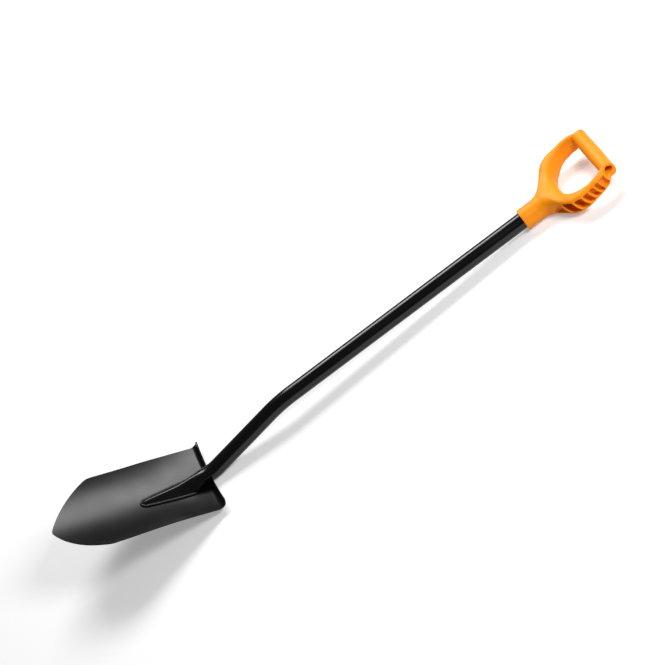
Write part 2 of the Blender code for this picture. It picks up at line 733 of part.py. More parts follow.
def build_pockets(side):
    edges = [POCKETS_START] + [y * MM for y in RIB_ALONG] + [POCKETS_END]
    shapes = []
    for i in range(len(edges) - 1):
        start = edges[i] + (RIB_THICKNESS / 2 if i else 0.0)
        end = edges[i + 1] - (RIB_THICKNESS / 2 if i < len(edges) - 2 else 0.0)
        rings = []
        for y in np.linspace(start, end, POCKET_STEPS):
            lean = curve_through(RIB_LEAN_ALONG, RIB_LEAN, y / MM) * MM
            inner = []
            outer = []
            for share in (0.0, 0.5, 1.0):
                place_y = y + lean * share ** RIB_LEAN_POWER
                low, high = pocket_limits(place_y)
                floor = curve_through(POCKET_FLOOR_ALONG, POCKET_FLOOR, place_y / MM) * MM
                z = high + (low - high) * share
                inner.append(np.array([side * floor, place_y, z]))
                outer.append(np.array([side * POCKET_REACH, place_y, z]))
            rings.append(inner + outer[::-1])
        shapes.append(loft(rings))
    return shapes


def build_hollows():
    """Pockets of both legs, the two bores of the bar and the socket for the tube."""
    shapes = build_pockets(1) + build_pockets(-1)
    for side in (1, -1):
        start = (side * BAR_WEB / 2, BAR_ALONG, BAR_MIDDLE)
        end = (side * POCKET_REACH, BAR_ALONG, BAR_MIDDLE)
        shapes.append(cylinder(start, end, BAR_BORE_RADIUS, TUBE_SIDES))
    below = GRIP_START - CUT_BEYOND
    shapes.append(cylinder((0, below, 0), (0, SOCKET_END, 0), TUBE_RADIUS + GAP, TUBE_SIDES))
    return joined(shapes)


# Screw

def screw_head_top():
    return -(COLLAR_RADIUS - 0.2 * MM)


def build_screw_space(extra):
    """The screw's head and shank as one turned solid, grown for the holes."""
    top = screw_head_top() - (CUT_BEYOND if extra else 0.0)
    shelf = screw_head_top() + SCREW_HEAD_HEIGHT + extra
    profile = ((SCREW_HEAD_RADIUS + extra, top), (SCREW_HEAD_RADIUS + extra, shelf),
               (SCREW_SHANK_RADIUS + extra, shelf), (SCREW_SHANK_RADIUS + extra, shelf + SCREW_LENGTH))
    rings = []
    for radius, z in profile:
        ring = []
        for i in range(SCREW_SIDES):
            angle = 2 * math.pi * i / SCREW_SIDES
            ring.append(np.array([radius * math.cos(angle), SCREW_ALONG + radius * math.sin(angle), z]))
        rings.append(ring)
    return loft(rings)


def build_screw_slot():
    across = SCREW_SLOT_WIDTH / 2
    along = SCREW_HEAD_RADIUS * SCREW_SLOT_SHARE
    top = screw_head_top()
    shapes = []
    for half_x, half_y in ((along, across), (across, along)):
        ring = ((half_x, half_y), (-half_x, half_y), (-half_x, -half_y), (half_x, -half_y))
        rings = [[np.array([x, SCREW_ALONG + y, z]) for x, y in ring]
                 for z in (top - MM, top + SCREW_SLOT_DEPTH)]
        shapes.append(loft(rings))
    return shapes


def lay_on_ground(pieces):
    """The turn and the height that put the heel of the blade and the grip on the ground."""
    points = np.array([obj.matrix_world @ v.co for obj in pieces for v in obj.data.vertices])
    angle = 0.0
    for _ in range(30):
        lifted = points[:, 2] * math.cos(angle) + points[:, 1] * math.sin(angle)
        heel = points[np.where(points[:, 1] < 0, lifted, np.inf).argmin()]
        grip = points[np.where(points[:, 1] > GRIP_START, lifted, np.inf).argmin()]
        angle = -math.atan2(grip[2] - heel[2], grip[1] - heel[1])
    turn = Matrix.Rotation(angle, 4, "X")
    turned = np.array([turn @ Vector(p) for p in points])
    low = turned.min(axis=0)
    high = turned.max(axis=0)
    return angle, Vector((0.0, -(low[1] + high[1]) / 2, -low[2]))


def main():
    for obj in list(bpy.data.objects):
        bpy.data.objects.remove(obj, do_unlink=True)

    blade = make_object("blade", *build_blade())
    blade.location = fold_centre()
    blade.rotation_euler = (-BLADE_PITCH, 0.0, 0.0)
    shaft = make_object("shaft", *build_shaft())
    nose_weld = make_object("nose_weld", *build_nose_weld())
    neck_weld = make_object("neck_weld", *build_neck_weld())
    grip = make_object("d_grip", *build_grip_blank())
    screw = make_object("grip_screw", *build_screw_space(0.0))
    bpy.context.view_layer.update()
    angle, place = lay_on_ground((blade, shaft, grip))

    boolean(blade, make_object("tube_cutter", *build_tube_cutter()), "DIFFERENCE")
    screw_space = make_object("screw_space", *build_screw_space(GAP))
    boolean(shaft, screw_space, "DIFFERENCE")
    boolean(grip, make_object("opening", *build_opening()), "DIFFERENCE")
    boolean(grip, make_object("bar", *build_bar()), "UNION")
    boolean(grip, make_object("hollows", *build_hollows()), "DIFFERENCE")
    boolean(grip, screw_space, "DIFFERENCE")
    for i, shape in enumerate(build_screw_slot()):
        boolean(screw, make_object(f"slot_{i}", *shape), "DIFFERENCE")

    paint(blade, "coated sheet", COAT, 0.5, 0.0)
    paint(shaft, "coated tube", COAT, 0.32, 0.0)
    paint(nose_weld, "coated weld", COAT, 0.45, 0.0)
    paint(neck_weld, "coated weld", COAT, 0.45, 0.0)
    paint(grip, "orange plastic", ORANGE, 0.38, 0.0)
    paint(screw, "zinc steel", ZINC, 0.35, 1.0)

    spade = bpy.data.objects.new("spade", None)
    bpy.context.scene.collection.objects.link(spade)
    for obj in list(bpy.context.scene.collection.objects):
        if obj is not spade:
            obj.parent = spade
    spade.rotation_euler = (angle, 0.0, 0.0)
    spade.location = place
    bpy.context.view_layer.update()


main()
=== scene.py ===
"""The looks of the pointed spade: satin black powder coat, a moulded orange grip, soft studio light.

Every piece is laid out in the frame of the shaft, as in the part: the main bend is the origin, +Y runs
up the tube to the grip and +Z is the hollow side of the blade. GROUND then lays it on the ground.
"""
import math

import bmesh
import bpy
import numpy as np
from mathutils import Matrix, Vector


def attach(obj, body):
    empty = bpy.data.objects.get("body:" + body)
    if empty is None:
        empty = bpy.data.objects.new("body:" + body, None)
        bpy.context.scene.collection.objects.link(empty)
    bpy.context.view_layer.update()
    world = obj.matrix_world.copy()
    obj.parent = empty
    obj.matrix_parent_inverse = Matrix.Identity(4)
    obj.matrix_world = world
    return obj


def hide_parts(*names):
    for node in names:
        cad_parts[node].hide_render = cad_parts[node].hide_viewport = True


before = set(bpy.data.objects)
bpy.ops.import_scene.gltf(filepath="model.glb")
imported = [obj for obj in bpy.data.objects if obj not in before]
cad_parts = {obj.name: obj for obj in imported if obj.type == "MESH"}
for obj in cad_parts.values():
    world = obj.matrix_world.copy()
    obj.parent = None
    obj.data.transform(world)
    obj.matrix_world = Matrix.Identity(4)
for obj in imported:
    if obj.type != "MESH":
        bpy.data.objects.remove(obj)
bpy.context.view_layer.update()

MM = 0.001

# How the spade lies on the ground: a turn about X in radians and a place in metres
LAY_TURN = -0.0376166
LAY_PLACE = (0.0, -0.128795, 0.041044)

# Camera: the photograph's place in metres, turn in degrees and lens in millimetres
CAMERA_PLACE = (3.2613, 0.424027, 2.60628)
CAMERA_TURN = (43.7101, 32.7132, 67.5247)
CAMERA_LENS = 130.404
CAMERA_REACH = 50.0
SENSOR_WIDTH = 36.0

# Shaft, in millimetres from here on
TUBE_RADIUS = 15.0
TUBE_TOP = 598.0
TUBE_SIDES = 96
MAIN_BEND_ANGLE = math.radians(11.33)
MAIN_BEND_RADIUS = 267.0
NECK_BEND_RADIUS = 55.0
NECK_FROM_MAIN_BEND = 175.3
NECK_BEHIND_FOLD = 14.3
NECK_SAG = 3.0
NECK_SAG_LENGTH = 22.0
BEND_STEPS = 28
TOUCH = 0.3

# Flattened nose of the shaft, its stations by distance from the fold
NOSE_LENGTH = 118.3
NOSE_END_RADIUS = 6.0
NOSE_END_BLEND = 2.5
NOSE_DISTANCE = (2.0, 7.0, 12.0, 25.0, 50.0, 70.0, 90.0, 109.0, 118.3)
NOSE_HALF_WIDTH = (15.0, 15.9, 17.4, 20.5, 18.2, 15.4, 12.2, 9.0, 7.6)
NOSE_HEIGHT = (27.0, 25.7, 24.3, 20.6, 14.2, 11.4, 9.0, 6.2, 3.0)
NOSE_MIDDLE = (15.0, 12.6, 9.5, 3.4, 1.9, 1.7, 1.6, 1.5, 1.2)
NOSE_RIDGE_POWER = 1.5
NOSE_RIDGE_FULL = 30.0
NOSE_SETTLE_LENGTH = 18.0
NOSE_RINGS = 90
NOSE_RINGS_START = 3.0
NOSE_RINGS_END_GAP = 0.02

# Blade, its stations by distance from the fold
BLADE_PITCH = math.radians(21.43)
BLADE_THICKNESS = 1.8
BLADE_LENGTH = 280.85
SIDE_LENGTH = 192.0
SIDE_STATION = (0.0, 45.0, 95.0, 192.0)
SIDE_HALF_WIDTH = (92.5, 92.2, 92.7, 95.7)
SIDE_DISH = (9.8, 14.0, 17.2, 18.4)
LENGTHWISE_CURVE = 0.0001667
POINT_ARC_RADIUS = 185.0
POINT_ARCS_BEYOND_TIP = 1.3
SHOULDER_SOFTNESS = 2.2
TREAD_BEND_RADIUS = 9.0
TREAD_BEND_ANGLE = math.radians(76.0)
TREAD_LIP = 7.4
TREAD_CORNER_RADIUS = 7.0
LIP_ROWS = 9
BEND_ROWS = 49
SIDE_ROWS = 66
POINT_ROWS = 60
POINT_ROWS_OVERLAP = 8.0
BLADE_COLUMNS = 49
BLADE_COLUMN_CROWDING = 0.9
BLADE_MERGE_DISTANCE = 0.02
RIM_ROUNDING = 0.5
RIM_SEGMENTS = 3
RIM_LEAST_ANGLE = math.radians(50.0)

# Notch in the treads, by distance from the tube's axis
NOTCH_START = 3.0
NOTCH_CLEARANCE = 0.4
NOTCH_SEARCH_WIDTH = 22.0
NOTCH_SEARCH_STEP = 0.05
AXIS_ABOVE_NECK = 60.0
AXIS_BELOW_NECK = 40.0
AXIS_STEPS_ABOVE = 80
AXIS_STEPS_IN_BEND = 60
AXIS_STEPS_BELOW = 40

# D grip, its stations by distance from the main bend
GRIP_START = 526.0
GRIP_START_ROUNDING = 1.6
COLLAR_RADIUS = 19.8
SOCKET_ROUNDING = 0.8
GRIP_STATION = (545.0, 556.0, 566.0, 576.0, 584.0, 591.0, 601.0, 610.0, 632.0, 657.0, 678.0, 689.4)
GRIP_HALF_WIDTH = (19.8, 19.8, 21.6, 28.0, 37.0, 47.5, 62.5, 71.0, 76.8, 76.8, 74.2, 62.6)
GRIP_HALF_DEPTH = (19.8, 19.8, 19.9, 21.0, 21.0, 20.7, 22.0, 23.8, 25.5, 24.3, 20.8, 17.0)
GRIP_MIDDLE = (0.0, 0.0, 0.5, 1.6, 2.8, 4.5, 6.5, 8.2, 11.2, 15.7, 19.2, 21.2)
GRIP_SQUARENESS = (2.0, 2.0, 2.1, 2.4, 2.8, 3.2, 3.6, 3.8, 4.0, 4.0, 4.4, 6.0)
EAR_RADIUS = 13.2
LEG_ROUNDING_ALONG = (585.0, 602.0, 650.0, 672.0, 690.0)
LEG_ROUNDING = (3.0, 16.0, 12.0, 7.0, 3.0)
LEG_BACK_ROUNDING = 4.0

# Cross bar of the grip
BAR_ALONG = 690.9
BAR_MIDDLE = 25.0
BAR_HALF_LENGTH = 61.5
BAR_END_RADIUS = 12.6
BAR_END_ROUNDING = 1.6
BAR_MIDDLE_RADIUS = 13.8
BAR_BORE_RADIUS = 8.6
BAR_BORE_FLATNESS = 1.25
BAR_BORE_RISE = 1.5
BAR_BORE_BOTTOM_ROUNDING = 1.5
BAR_BORE_MOUTH_ROUNDING = 1.4
BAR_WEB = 4.0
BAR_FILLET = 6.0

# Hand opening of the grip, which flares to the front and to the back
OPENING_ALONG = (608.5, 609.8, 612.5, 617.0, 624.0, 633.0, 642.0, 653.0, 665.0, 676.0)
OPENING_HALF_WIDTH = (0.0, 17.0, 29.0, 38.5, 47.5, 54.5, 59.0, 61.3, 61.0, 58.0)
OPENING_TOP = 725.0
OPENING_TOP_INSET = 1.0
OPENING_POINTS = 160
OPENING_CROWDING = 2.5
OPENING_FLARE_ALONG = (590.0, 622.0, 650.0, 690.0)
OPENING_FLARE = (27.0, 20.5, 11.5, 5.0)
OPENING_BACK_FLARE = (8.7, 8.7, 8.7, 3.0)
OPENING_LEAST_DEPTH = 12.0
OPENING_FRONT_INSET = 1.0
OPENING_BACK_INSET = 5.0
OPENING_DROP_ALONG = (608.5, 617.0, 640.0)
OPENING_DROP = (8.0, 6.5, 0.0)

# Pockets in the outer sides of the legs, between leaning ribs
POCKETS_START = 583.0
POCKETS_END = 677.6
POCKET_FLOOR_ALONG = (583.0, 597.0, 609.0, 617.0, 625.0, 634.0, 648.0, 665.0, 677.0)
POCKET_FLOOR = (26.0, 33.0, 42.0, 50.0, 56.0, 61.0, 65.5, 66.0, 64.0)
POCKET_FRONT = 11.0
POCKET_BACK = 12.5
POCKET_BACK_WALL = 5.0
POCKET_WALL_ROUNDING = 2.5
POCKET_MOUTH_ROUNDING = 2.0
CHANNEL_START_SLANT = 0.7
CHANNEL_START_ROUNDING = 5.0
RIB_ALONG = (592.0, 610.0, 627.0, 641.0, 653.5, 665.0)
RIB_THICKNESS = 4.0
RIB_ROUNDING = 2.4
RIB_LEAN_ALONG = (590.0, 650.0, 680.0)
RIB_LEAN = (9.4, 8.5, 6.0)
RIB_LEAN_POWER = 1.6

# Grid on which the grip's surface is found
GRIP_CELL = 1.0
GRIP_GRID_LOW = (-80.0, 523.0, -23.0)
GRIP_GRID_HIGH = (80.0, 706.0, 43.0)

# Screw, its outline in pairs of a radius and a depth from the face of the head
SCREW_ALONG = 545.0
SCREW_HEAD_RADIUS = 4.0
SCREW_HEAD_HEIGHT = 1.6
SCREW_HEAD_INSET = 0.2
SCREW_SHANK_RADIUS = 1.9
SCREW_HEAD_OUTLINE = ((0.0, 0.0), (2.6, 0.0), (3.4, 0.12), (3.85, 0.4), (SCREW_HEAD_RADIUS, 0.8),
                      (SCREW_HEAD_RADIUS, SCREW_HEAD_HEIGHT))
SCREW_SHANK_OUTLINE = ((SCREW_SHANK_RADIUS, 1.9), (SCREW_SHANK_RADIUS, 10.0), (0.0, 10.6))
SCREW_SIDES = 48
SCREW_MERGE_DISTANCE = 0.001
SCREW_SHARP_ANGLE = math.radians(35.0)
SCREW_RECESS_ROUNDING = 0.6
CROSS_HALF_LENGTH = 2.3
CROSS_HALF_WIDTH = 0.45
CROSS_DEPTH = 1.1
CROSS_BOTTOM_SHARE = 0.75
CROSS_CUT_BEYOND = 1.0

# Weld beads
BEAD_RADIUS = 3.0
BEAD_START = 20.0
BEAD_STEP = 0.3
BEAD_SIDES = 14
BEAD_LEAST_SIZE = 0.86
BEAD_END_SIZE = 0.45
BEAD_END_SHARE = 0.03
BEAD_LUMP_SCALE = 0.35
BEAD_LUMP_SIZE = 0.5
NOSE_BEAD_OUT = 0.6
NOSE_BEAD_HEIGHT = 0.9
NOSE_BEAD_POINTS = 60
NECK_BEAD_RADIUS = 2.2
NECK_BEAD_SPAN = (3.2, 14.0)
NECK_BEAD_POINTS = 40
NECK_BEAD_WIDEST = 13.5
NECK_BEAD_OFFSET = (0.0, 1.5, -1.5)
RIPPLE_LENGTH = 2.4
RIPPLE_DEPTH = 0.05

# Colours, from the darker to the lighter, and the usual range of a noise
COAT_BLACKS = ((0.0015, 0.0015, 0.0019, 1.0), (0.0034, 0.0034, 0.0042, 1.0))
PLASTIC_ORANGES = ((0.93, 0.285, 0.003, 1.0), (0.96, 0.315, 0.005, 1.0))
ZINC_GREYS = ((0.52, 0.52, 0.50, 1.0), (0.62, 0.62, 0.60, 1.0))
NOISE_RANGE = (0.3, 0.7)

# Studio, in metres
WORLD_LIGHT = 0.08
FLOOR_SHADE = 0.78
FLOOR_GLOW = 0.3
FLOOR_HALF_SIZE = 12.0

# Directions and places in the frame of the shaft
X_AXIS = np.array([1.0, 0.0, 0.0])
DOWN_TUBE = np.array([0.0, -math.cos(MAIN_BEND_ANGLE), -math.sin(MAIN_BEND_ANGLE)])
DOWN_BLADE = np.array([0.0, -math.cos(BLADE_PITCH), math.sin(BLADE_PITCH)])
OFF_BLADE = np.array([0.0, math.sin(BLADE_PITCH), math.cos(BLADE_PITCH)])
NECK = DOWN_TUBE * NECK_FROM_MAIN_BEND
FOLD = NECK + NECK_BEHIND_FOLD * DOWN_BLADE - (TUBE_RADIUS + TOUCH) * OFF_BLADE


# Curves and fields

TINY = 1e-9
LEAST_SLOPE = 0.001


def curve_through(stations, values, at):
    """A smooth curve through a few stations, with no overshoot between them."""
    x = np.asarray(stations, float)
    y = np.asarray(values, float)
    at = np.clip(np.asarray(at, float), x[0], x[-1])
    step = np.diff(x)
    slope = np.diff(y) / step
    tangent = np.empty_like(y)
    tangent[0] = slope[0]
    tangent[-1] = slope[-1]
    rising = slope[:-1] * slope[1:] > 0
    weight_a = 2 * step[1:] + step[:-1]
    weight_b = step[1:] + 2 * step[:-1]
    safe_a = np.where(rising, slope[:-1], 1.0)
    safe_b = np.where(rising, slope[1:], 1.0)
    mean = (weight_a + weight_b) / (weight_a / safe_a + weight_b / safe_b)
    tangent[1:-1] = np.where(rising, mean, 0.0)
    i = np.clip(np.searchsorted(x, at, side="right") - 1, 0, len(x) - 2)
    t = (at - x[i]) / step[i]
    return (y[i] * (1 + 2 * t) * (1 - t) ** 2 + tangent[i] * step[i] * t * (1 - t) ** 2
            + y[i + 1] * t * t * (3 - 2 * t) + tangent[i + 1] * step[i] * t * t * (t - 1))


def blended_min(a, b, softness):
    """The smaller of two fields, with a fillet of about this radius where they are equal."""
    h = np.maximum(softness - np.abs(a - b), 0.0) / softness
    return np.minimum(a, b) - h * h * softness / 4


def blended_max(a, b, softness):
    """The larger of two fields, with the same fillet."""
    return -blended_min(-a, -b, softness)


# Making pieces

GROUND = Matrix.Translation(LAY_PLACE) @ Matrix.Rotation(LAY_TURN, 4, "X") @ Matrix.Scale(MM, 4)


def new_piece(name, points, faces, normals=None):
    """A piece from points in millimetres in the shaft's frame, laid on the ground and shaded smooth."""
    mesh = bpy.data.meshes.new(name)
    mesh.from_pydata(np.asarray(points).tolist(), [], faces)
    mesh.transform(GROUND)
    mesh.shade_smooth()
    if normals is not None:
        turned = normals @ np.array(GROUND.to_3x3()).T
        turned /= np.linalg.norm(turned, axis=1)[:, None]
        mesh.normals_split_custom_set_from_vertices(turned.tolist())
    obj = bpy.data.objects.new(name, mesh)
    bpy.context.scene.collection.objects.link(obj)
    return obj


def finished(obj):
    """Turns the evaluated result of the modifiers into a plain mesh and removes the modifiers."""
    bpy.context.view_layer.update()
    graph = bpy.context.evaluated_depsgraph_get()
    mesh = bpy.data.meshes.new_from_object(obj.evaluated_get(graph), depsgraph=graph)
    obj.modifiers.clear()
    obj.data = mesh
    return obj


def merge_points(obj, distance, closed):
    """Joins the points that lie together. The faces of a closed shell are turned outwards."""
    work = bmesh.new()
    work.from_mesh(obj.data)
    bmesh.ops.remove_doubles(work, verts=work.verts, dist=distance * MM)
    if closed:
        bmesh.ops.recalc_face_normals(work, faces=work.faces)
    work.to_mesh(obj.data)
    work.free()


def take_place(obj, node, material):
    """The piece stands for a CAD node, with its material."""
    obj.data.materials.clear()
    obj.data.materials.append(material)
    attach(obj, "root")
    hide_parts(node)


# Blade

def half_width(s):
    """Half the width of the blade at a distance from the fold. The arcs of the point would meet a
    little beyond the tip, which rounds it."""
    tip = BLADE_LENGTH + POINT_ARCS_BEYOND_TIP
    shoulder = SIDE_HALF_WIDTH[-1]
    chord = np.array([tip - SIDE_LENGTH, -shoulder])
    length = np.linalg.norm(chord)
    outward = np.array([-chord[1], chord[0]]) / length
    back = math.sqrt(POINT_ARC_RADIUS ** 2 - (length / 2) ** 2)
    centre = np.array([SIDE_LENGTH + tip, shoulder]) / 2 - outward * back

    def arc(at):
        return centre[1] + np.sqrt(np.maximum(POINT_ARC_RADIUS ** 2 - (at - centre[0]) ** 2, 0.0))

    side = curve_through(SIDE_STATION, SIDE_HALF_WIDTH, s)
    point = arc(s)
    rounded = 0.5 * (side + point - np.sqrt((side - point) ** 2 + SHOULDER_SOFTNESS ** 2))
    tipped = np.sqrt(np.maximum(rounded ** 2 - arc(BLADE_LENGTH) ** 2, 0.0))
    return np.where(s < centre[0], side, tipped)


def sheet_height(x, s):
    """Height of the front of the sheet over its tangent plane at the fold."""
    dish = curve_through(SIDE_STATION, SIDE_DISH, s)
    edge = curve_through(SIDE_STATION, SIDE_HALF_WIDTH, s)
    return dish * (x / edge) ** 2 + LENGTHWISE_CURVE * np.maximum(s, 0.0) ** 2


def sheet_point(x, along):
    """Front of the sheet in the blade's own frame: toward the point for positive distances, round the
    tread's bend and up its lip for negative ones."""
    x, along = np.broadcast_arrays(np.asarray(x, float), np.asarray(along, float))
    run = np.maximum(-along, 0.0)
    arc = TREAD_BEND_RADIUS * TREAD_BEND_ANGLE
    angle = np.minimum(run, arc) / TREAD_BEND_RADIUS
    beyond = np.maximum(run - arc, 0.0)
    behind = TREAD_BEND_RADIUS * np.sin(angle) + beyond * math.cos(TREAD_BEND_ANGLE)
    height = TREAD_BEND_RADIUS * (1 - np.cos(angle)) + beyond * math.sin(TREAD_BEND_ANGLE)
    part = np.minimum(run / arc, 1.0)
    eased = part * part * (3 - 2 * part)
    rise = sheet_height(x, np.maximum(along, 0.0))
    behind = behind + np.where(along < 0, rise * eased / math.tan(TREAD_BEND_ANGLE), 0.0)
    return np.stack([x, behind - np.maximum(along, 0.0), height + rise], axis=-1)


def in_shaft_frame(points):
    """Points of the blade's own frame in the frame of the shaft."""
    points = np.asarray(points)
    return (FOLD + points[..., 0:1] * X_AXIS - points[..., 1:2] * DOWN_BLADE
            + points[..., 2:3] * OFF_BLADE)


def neck_axis():
    """Points of the tube's axis along its lower part, round the bend at the neck and on to the nose."""
    turn = MAIN_BEND_ANGLE + BLADE_PITCH
    reach = NECK_BEND_RADIUS * math.tan(turn / 2)
    inward = (DOWN_BLADE - DOWN_TUBE) / np.linalg.norm(DOWN_BLADE - DOWN_TUBE)
    middle = NECK + inward * NECK_BEND_RADIUS / math.cos(turn / 2)
    first = NECK - DOWN_TUBE * reach - middle
    last = NECK + DOWN_BLADE * reach - middle
    points = [NECK - DOWN_TUBE * step for step in np.linspace(AXIS_ABOVE_NECK, reach, AXIS_STEPS_ABOVE)]
    for part in np.linspace(0, 1, AXIS_STEPS_IN_BEND):
        swung = (math.sin((1 - part) * turn) * first + math.sin(part * turn) * last) / math.sin(turn)
        points.append(middle + swung)
    points += [NECK + DOWN_BLADE * step for step in np.linspace(reach, AXIS_BELOW_NECK, AXIS_STEPS_BELOW)]
    return np.array(points)


def notch_half_width(along):
    """Half the width of the notch that lets the tube through the treads."""
    axis = neck_axis()
    across = np.arange(0.0, NOTCH_SEARCH_WIDTH, NOTCH_SEARCH_STEP)
    clear = np.ones(len(across), bool)
    for depth in (0.0, BLADE_THICKNESS):
        point = in_shaft_frame(sheet_point(across, along) - np.array([0.0, 0.0, depth]))
        away = np.sqrt(((point[:, None, :] - axis[None, :, :]) ** 2).sum(axis=2)).min(axis=1)
        clear &= away > TUBE_RADIUS + TOUCH / 2
    inside = np.flatnonzero(~clear)
    if len(inside) == 0 or along > -NOTCH_START:
        return 0.0
    return across[inside[-1]] + NOTCH_CLEARANCE


def blade_rows():
    """Distances along the sheet, from the top of the treads (negative) to the tip."""
    arc = TREAD_BEND_RADIUS * TREAD_BEND_ANGLE
    lip = np.linspace(arc + TREAD_LIP, arc, LIP_ROWS)
    bend = np.linspace(arc, 0, BEND_ROWS)[1:-1]
    shoulder = SIDE_LENGTH - POINT_ROWS_OVERLAP
    side = np.linspace(0, shoulder, SIDE_ROWS)
    turn = np.linspace(0, math.pi / 2, POINT_ROWS)[1:]
    point = shoulder + (BLADE_LENGTH - shoulder) * np.sin(turn)
    return np.concatenate([-lip, -bend, side, point])


def blade_half():
    """One half of the front of the sheet, as rows of points in the frame of the shaft. The lines up the
    tread are shorter near its outer corner, which rounds it."""
    full = TREAD_BEND_RADIUS * TREAD_BEND_ANGLE + TREAD_LIP
    columns = np.sin(np.linspace(0, math.pi / 2, BLADE_COLUMNS)) ** BLADE_COLUMN_CROWDING
    grid = []
    for along in blade_rows():
        if along < 0:
            outer = SIDE_HALF_WIDTH[0]
            inner = notch_half_width(along)
            x = inner + (outer - inner) * columns
            into = np.clip(x - (outer - TREAD_CORNER_RADIUS), 0, TREAD_CORNER_RADIUS)
            length = full - TREAD_CORNER_RADIUS + np.sqrt(TREAD_CORNER_RADIUS ** 2 - into ** 2)
            grid.append(sheet_point(x, along * length / full))
        else:
            grid.append(sheet_point(half_width(along) * columns, along))
    return in_shaft_frame(np.array(grid))


def make_blade(material):
    """The sheet as two mirrored halves that meet in the middle and part at the notch."""
    grid = blade_half()
    rows, columns = grid.shape[:2]
    points = []
    faces = []
    for mirror in (1.0, -1.0):
        base = len(points)
        points += (grid.reshape(-1, 3) * np.array([mirror, 1.0, 1.0])).tolist()
        for i in range(rows - 1):
            for j in range(columns - 1):
                a = base + i * columns + j
                quad = (a, a + columns, a + columns + 1, a + 1)
                faces.append(quad if mirror > 0 else quad[::-1])
    blade = new_piece("spade_blade", points, faces)
    merge_points(blade, BLADE_MERGE_DISTANCE, closed=False)
    wall = blade.modifiers.new("wall", "SOLIDIFY")
    wall.thickness = BLADE_THICKNESS * MM
    wall.offset = -1.0
    wall.use_even_offset = True
    rim = blade.modifiers.new("rim", "BEVEL")
    rim.width = RIM_ROUNDING * MM
    rim.segments = RIM_SEGMENTS
    rim.limit_method = "ANGLE"
    rim.angle_limit = RIM_LEAST_ANGLE
    rim.harden_normals = True
    take_place(finished(blade), "blade", material)


# D grip, as a field of distances in millimetres

def grip_axes():
    """Places of the grid's planes along x, y and z."""
    spans = zip(GRIP_GRID_LOW, GRIP_GRID_HIGH)
    return [np.arange(low, high + GRIP_CELL / 2, GRIP_CELL) for low, high in spans]


def as_distance(field):
    """A field that is zero on a surface, rescaled so that its values are distances near it."""
    slopes = np.gradient(field, GRIP_CELL)
    steep = np.sqrt(sum(slope ** 2 for slope in slopes))
    return field / np.maximum(steep, LEAST_SLOPE)


def opening_outline():
    """Corners of the hand opening's outline, closer together where it starts."""
    start, end = OPENING_ALONG[0], OPENING_ALONG[-1]
    along = start + (end - start) * np.linspace(0, 1, OPENING_POINTS) ** OPENING_CROWDING
    width = curve_through(OPENING_ALONG, OPENING_HALF_WIDTH, along)
    right = np.stack([width, along], axis=1)
    right = np.vstack([right, [[width[-1] - OPENING_TOP_INSET, OPENING_TOP]]])
    return np.vstack([right, (right * np.array([-1.0, 1.0]))[:0:-1]])


def opening_distance(x, y):
    """Distance from the outline of the hand opening, in its plane, negative inside it."""
    outline = opening_outline()
    best = np.full(x.shape, np.inf)
    crossings = np.zeros(x.shape, int)
    for a, b in zip(outline, np.roll(outline, -1, axis=0)):
        edge = b - a
        t = np.clip(((x - a[0]) * edge[0] + (y - a[1]) * edge[1]) / max(edge @ edge, TINY), 0, 1)
        best = np.minimum(best, (x - a[0] - t * edge[0]) ** 2 + (y - a[1] - t * edge[1]) ** 2)
        spans = (a[1] > y) != (b[1] > y)
        if abs(edge[1]) > TINY:
            crossings += spans & (x < a[0] + (y - a[1]) * edge[0] / edge[1])
    return np.where(crossings % 2 == 1, -np.sqrt(best), np.sqrt(best))


def grip_blank(x, y, z, middle, deep):
    """The outer shape of collar, fork and legs. The legs end in rounded ears at the bar."""
    wide = curve_through(GRIP_STATION, GRIP_HALF_WIDTH, y)
    square = curve_through(GRIP_STATION, GRIP_SQUARENESS, y)
    size = (np.abs(x) / wide) ** square + (np.abs(z - middle) / deep) ** square
    blank = as_distance(np.maximum(size, TINY) ** (1 / square) - 1)
    beyond = (y - GRIP_STATION[-1]) / EAR_RADIUS
    around = np.hypot(beyond, (z - GRIP_MIDDLE[-1]) / GRIP_HALF_DEPTH[-1])
    ears = np.where(beyond > 0, (around - 1) * EAR_RADIUS, -np.inf)
    return blended_max(np.maximum(blank, ears), GRIP_START - y, GRIP_START_ROUNDING)


def hand_opening(y, z, middle, deep):
    """The hand opening, which flares to the front and to the back."""
    drop = curve_through(OPENING_DROP_ALONG, OPENING_DROP, y)
    centre = middle - drop
    front = np.maximum(deep - OPENING_FRONT_INSET, OPENING_LEAST_DEPTH) + drop
    back = np.maximum(deep - OPENING_BACK_INSET, OPENING_LEAST_DEPTH)
    level = np.where(z > centre, (z - centre) / front, (centre - z) / back)
    widening = 1 - np.sqrt(np.maximum(1 - np.minimum(level, 1.0) ** 2, 0.0))
    front_flare = curve_through(OPENING_FLARE_ALONG, OPENING_FLARE, y)
    back_flare = curve_through(OPENING_FLARE_ALONG, OPENING_BACK_FLARE, y)
    flare = np.where(z > centre, front_flare, back_flare)
    axis_x, axis_y = grip_axes()[:2]
    plane = opening_distance(*np.meshgrid(axis_x, axis_y, indexing="ij"))[:, :, None]
    rounding = np.where(z > centre, curve_through(LEG_ROUNDING_ALONG, LEG_ROUNDING, y), LEG_BACK_ROUNDING)
    return as_distance(plane - flare * widening), rounding


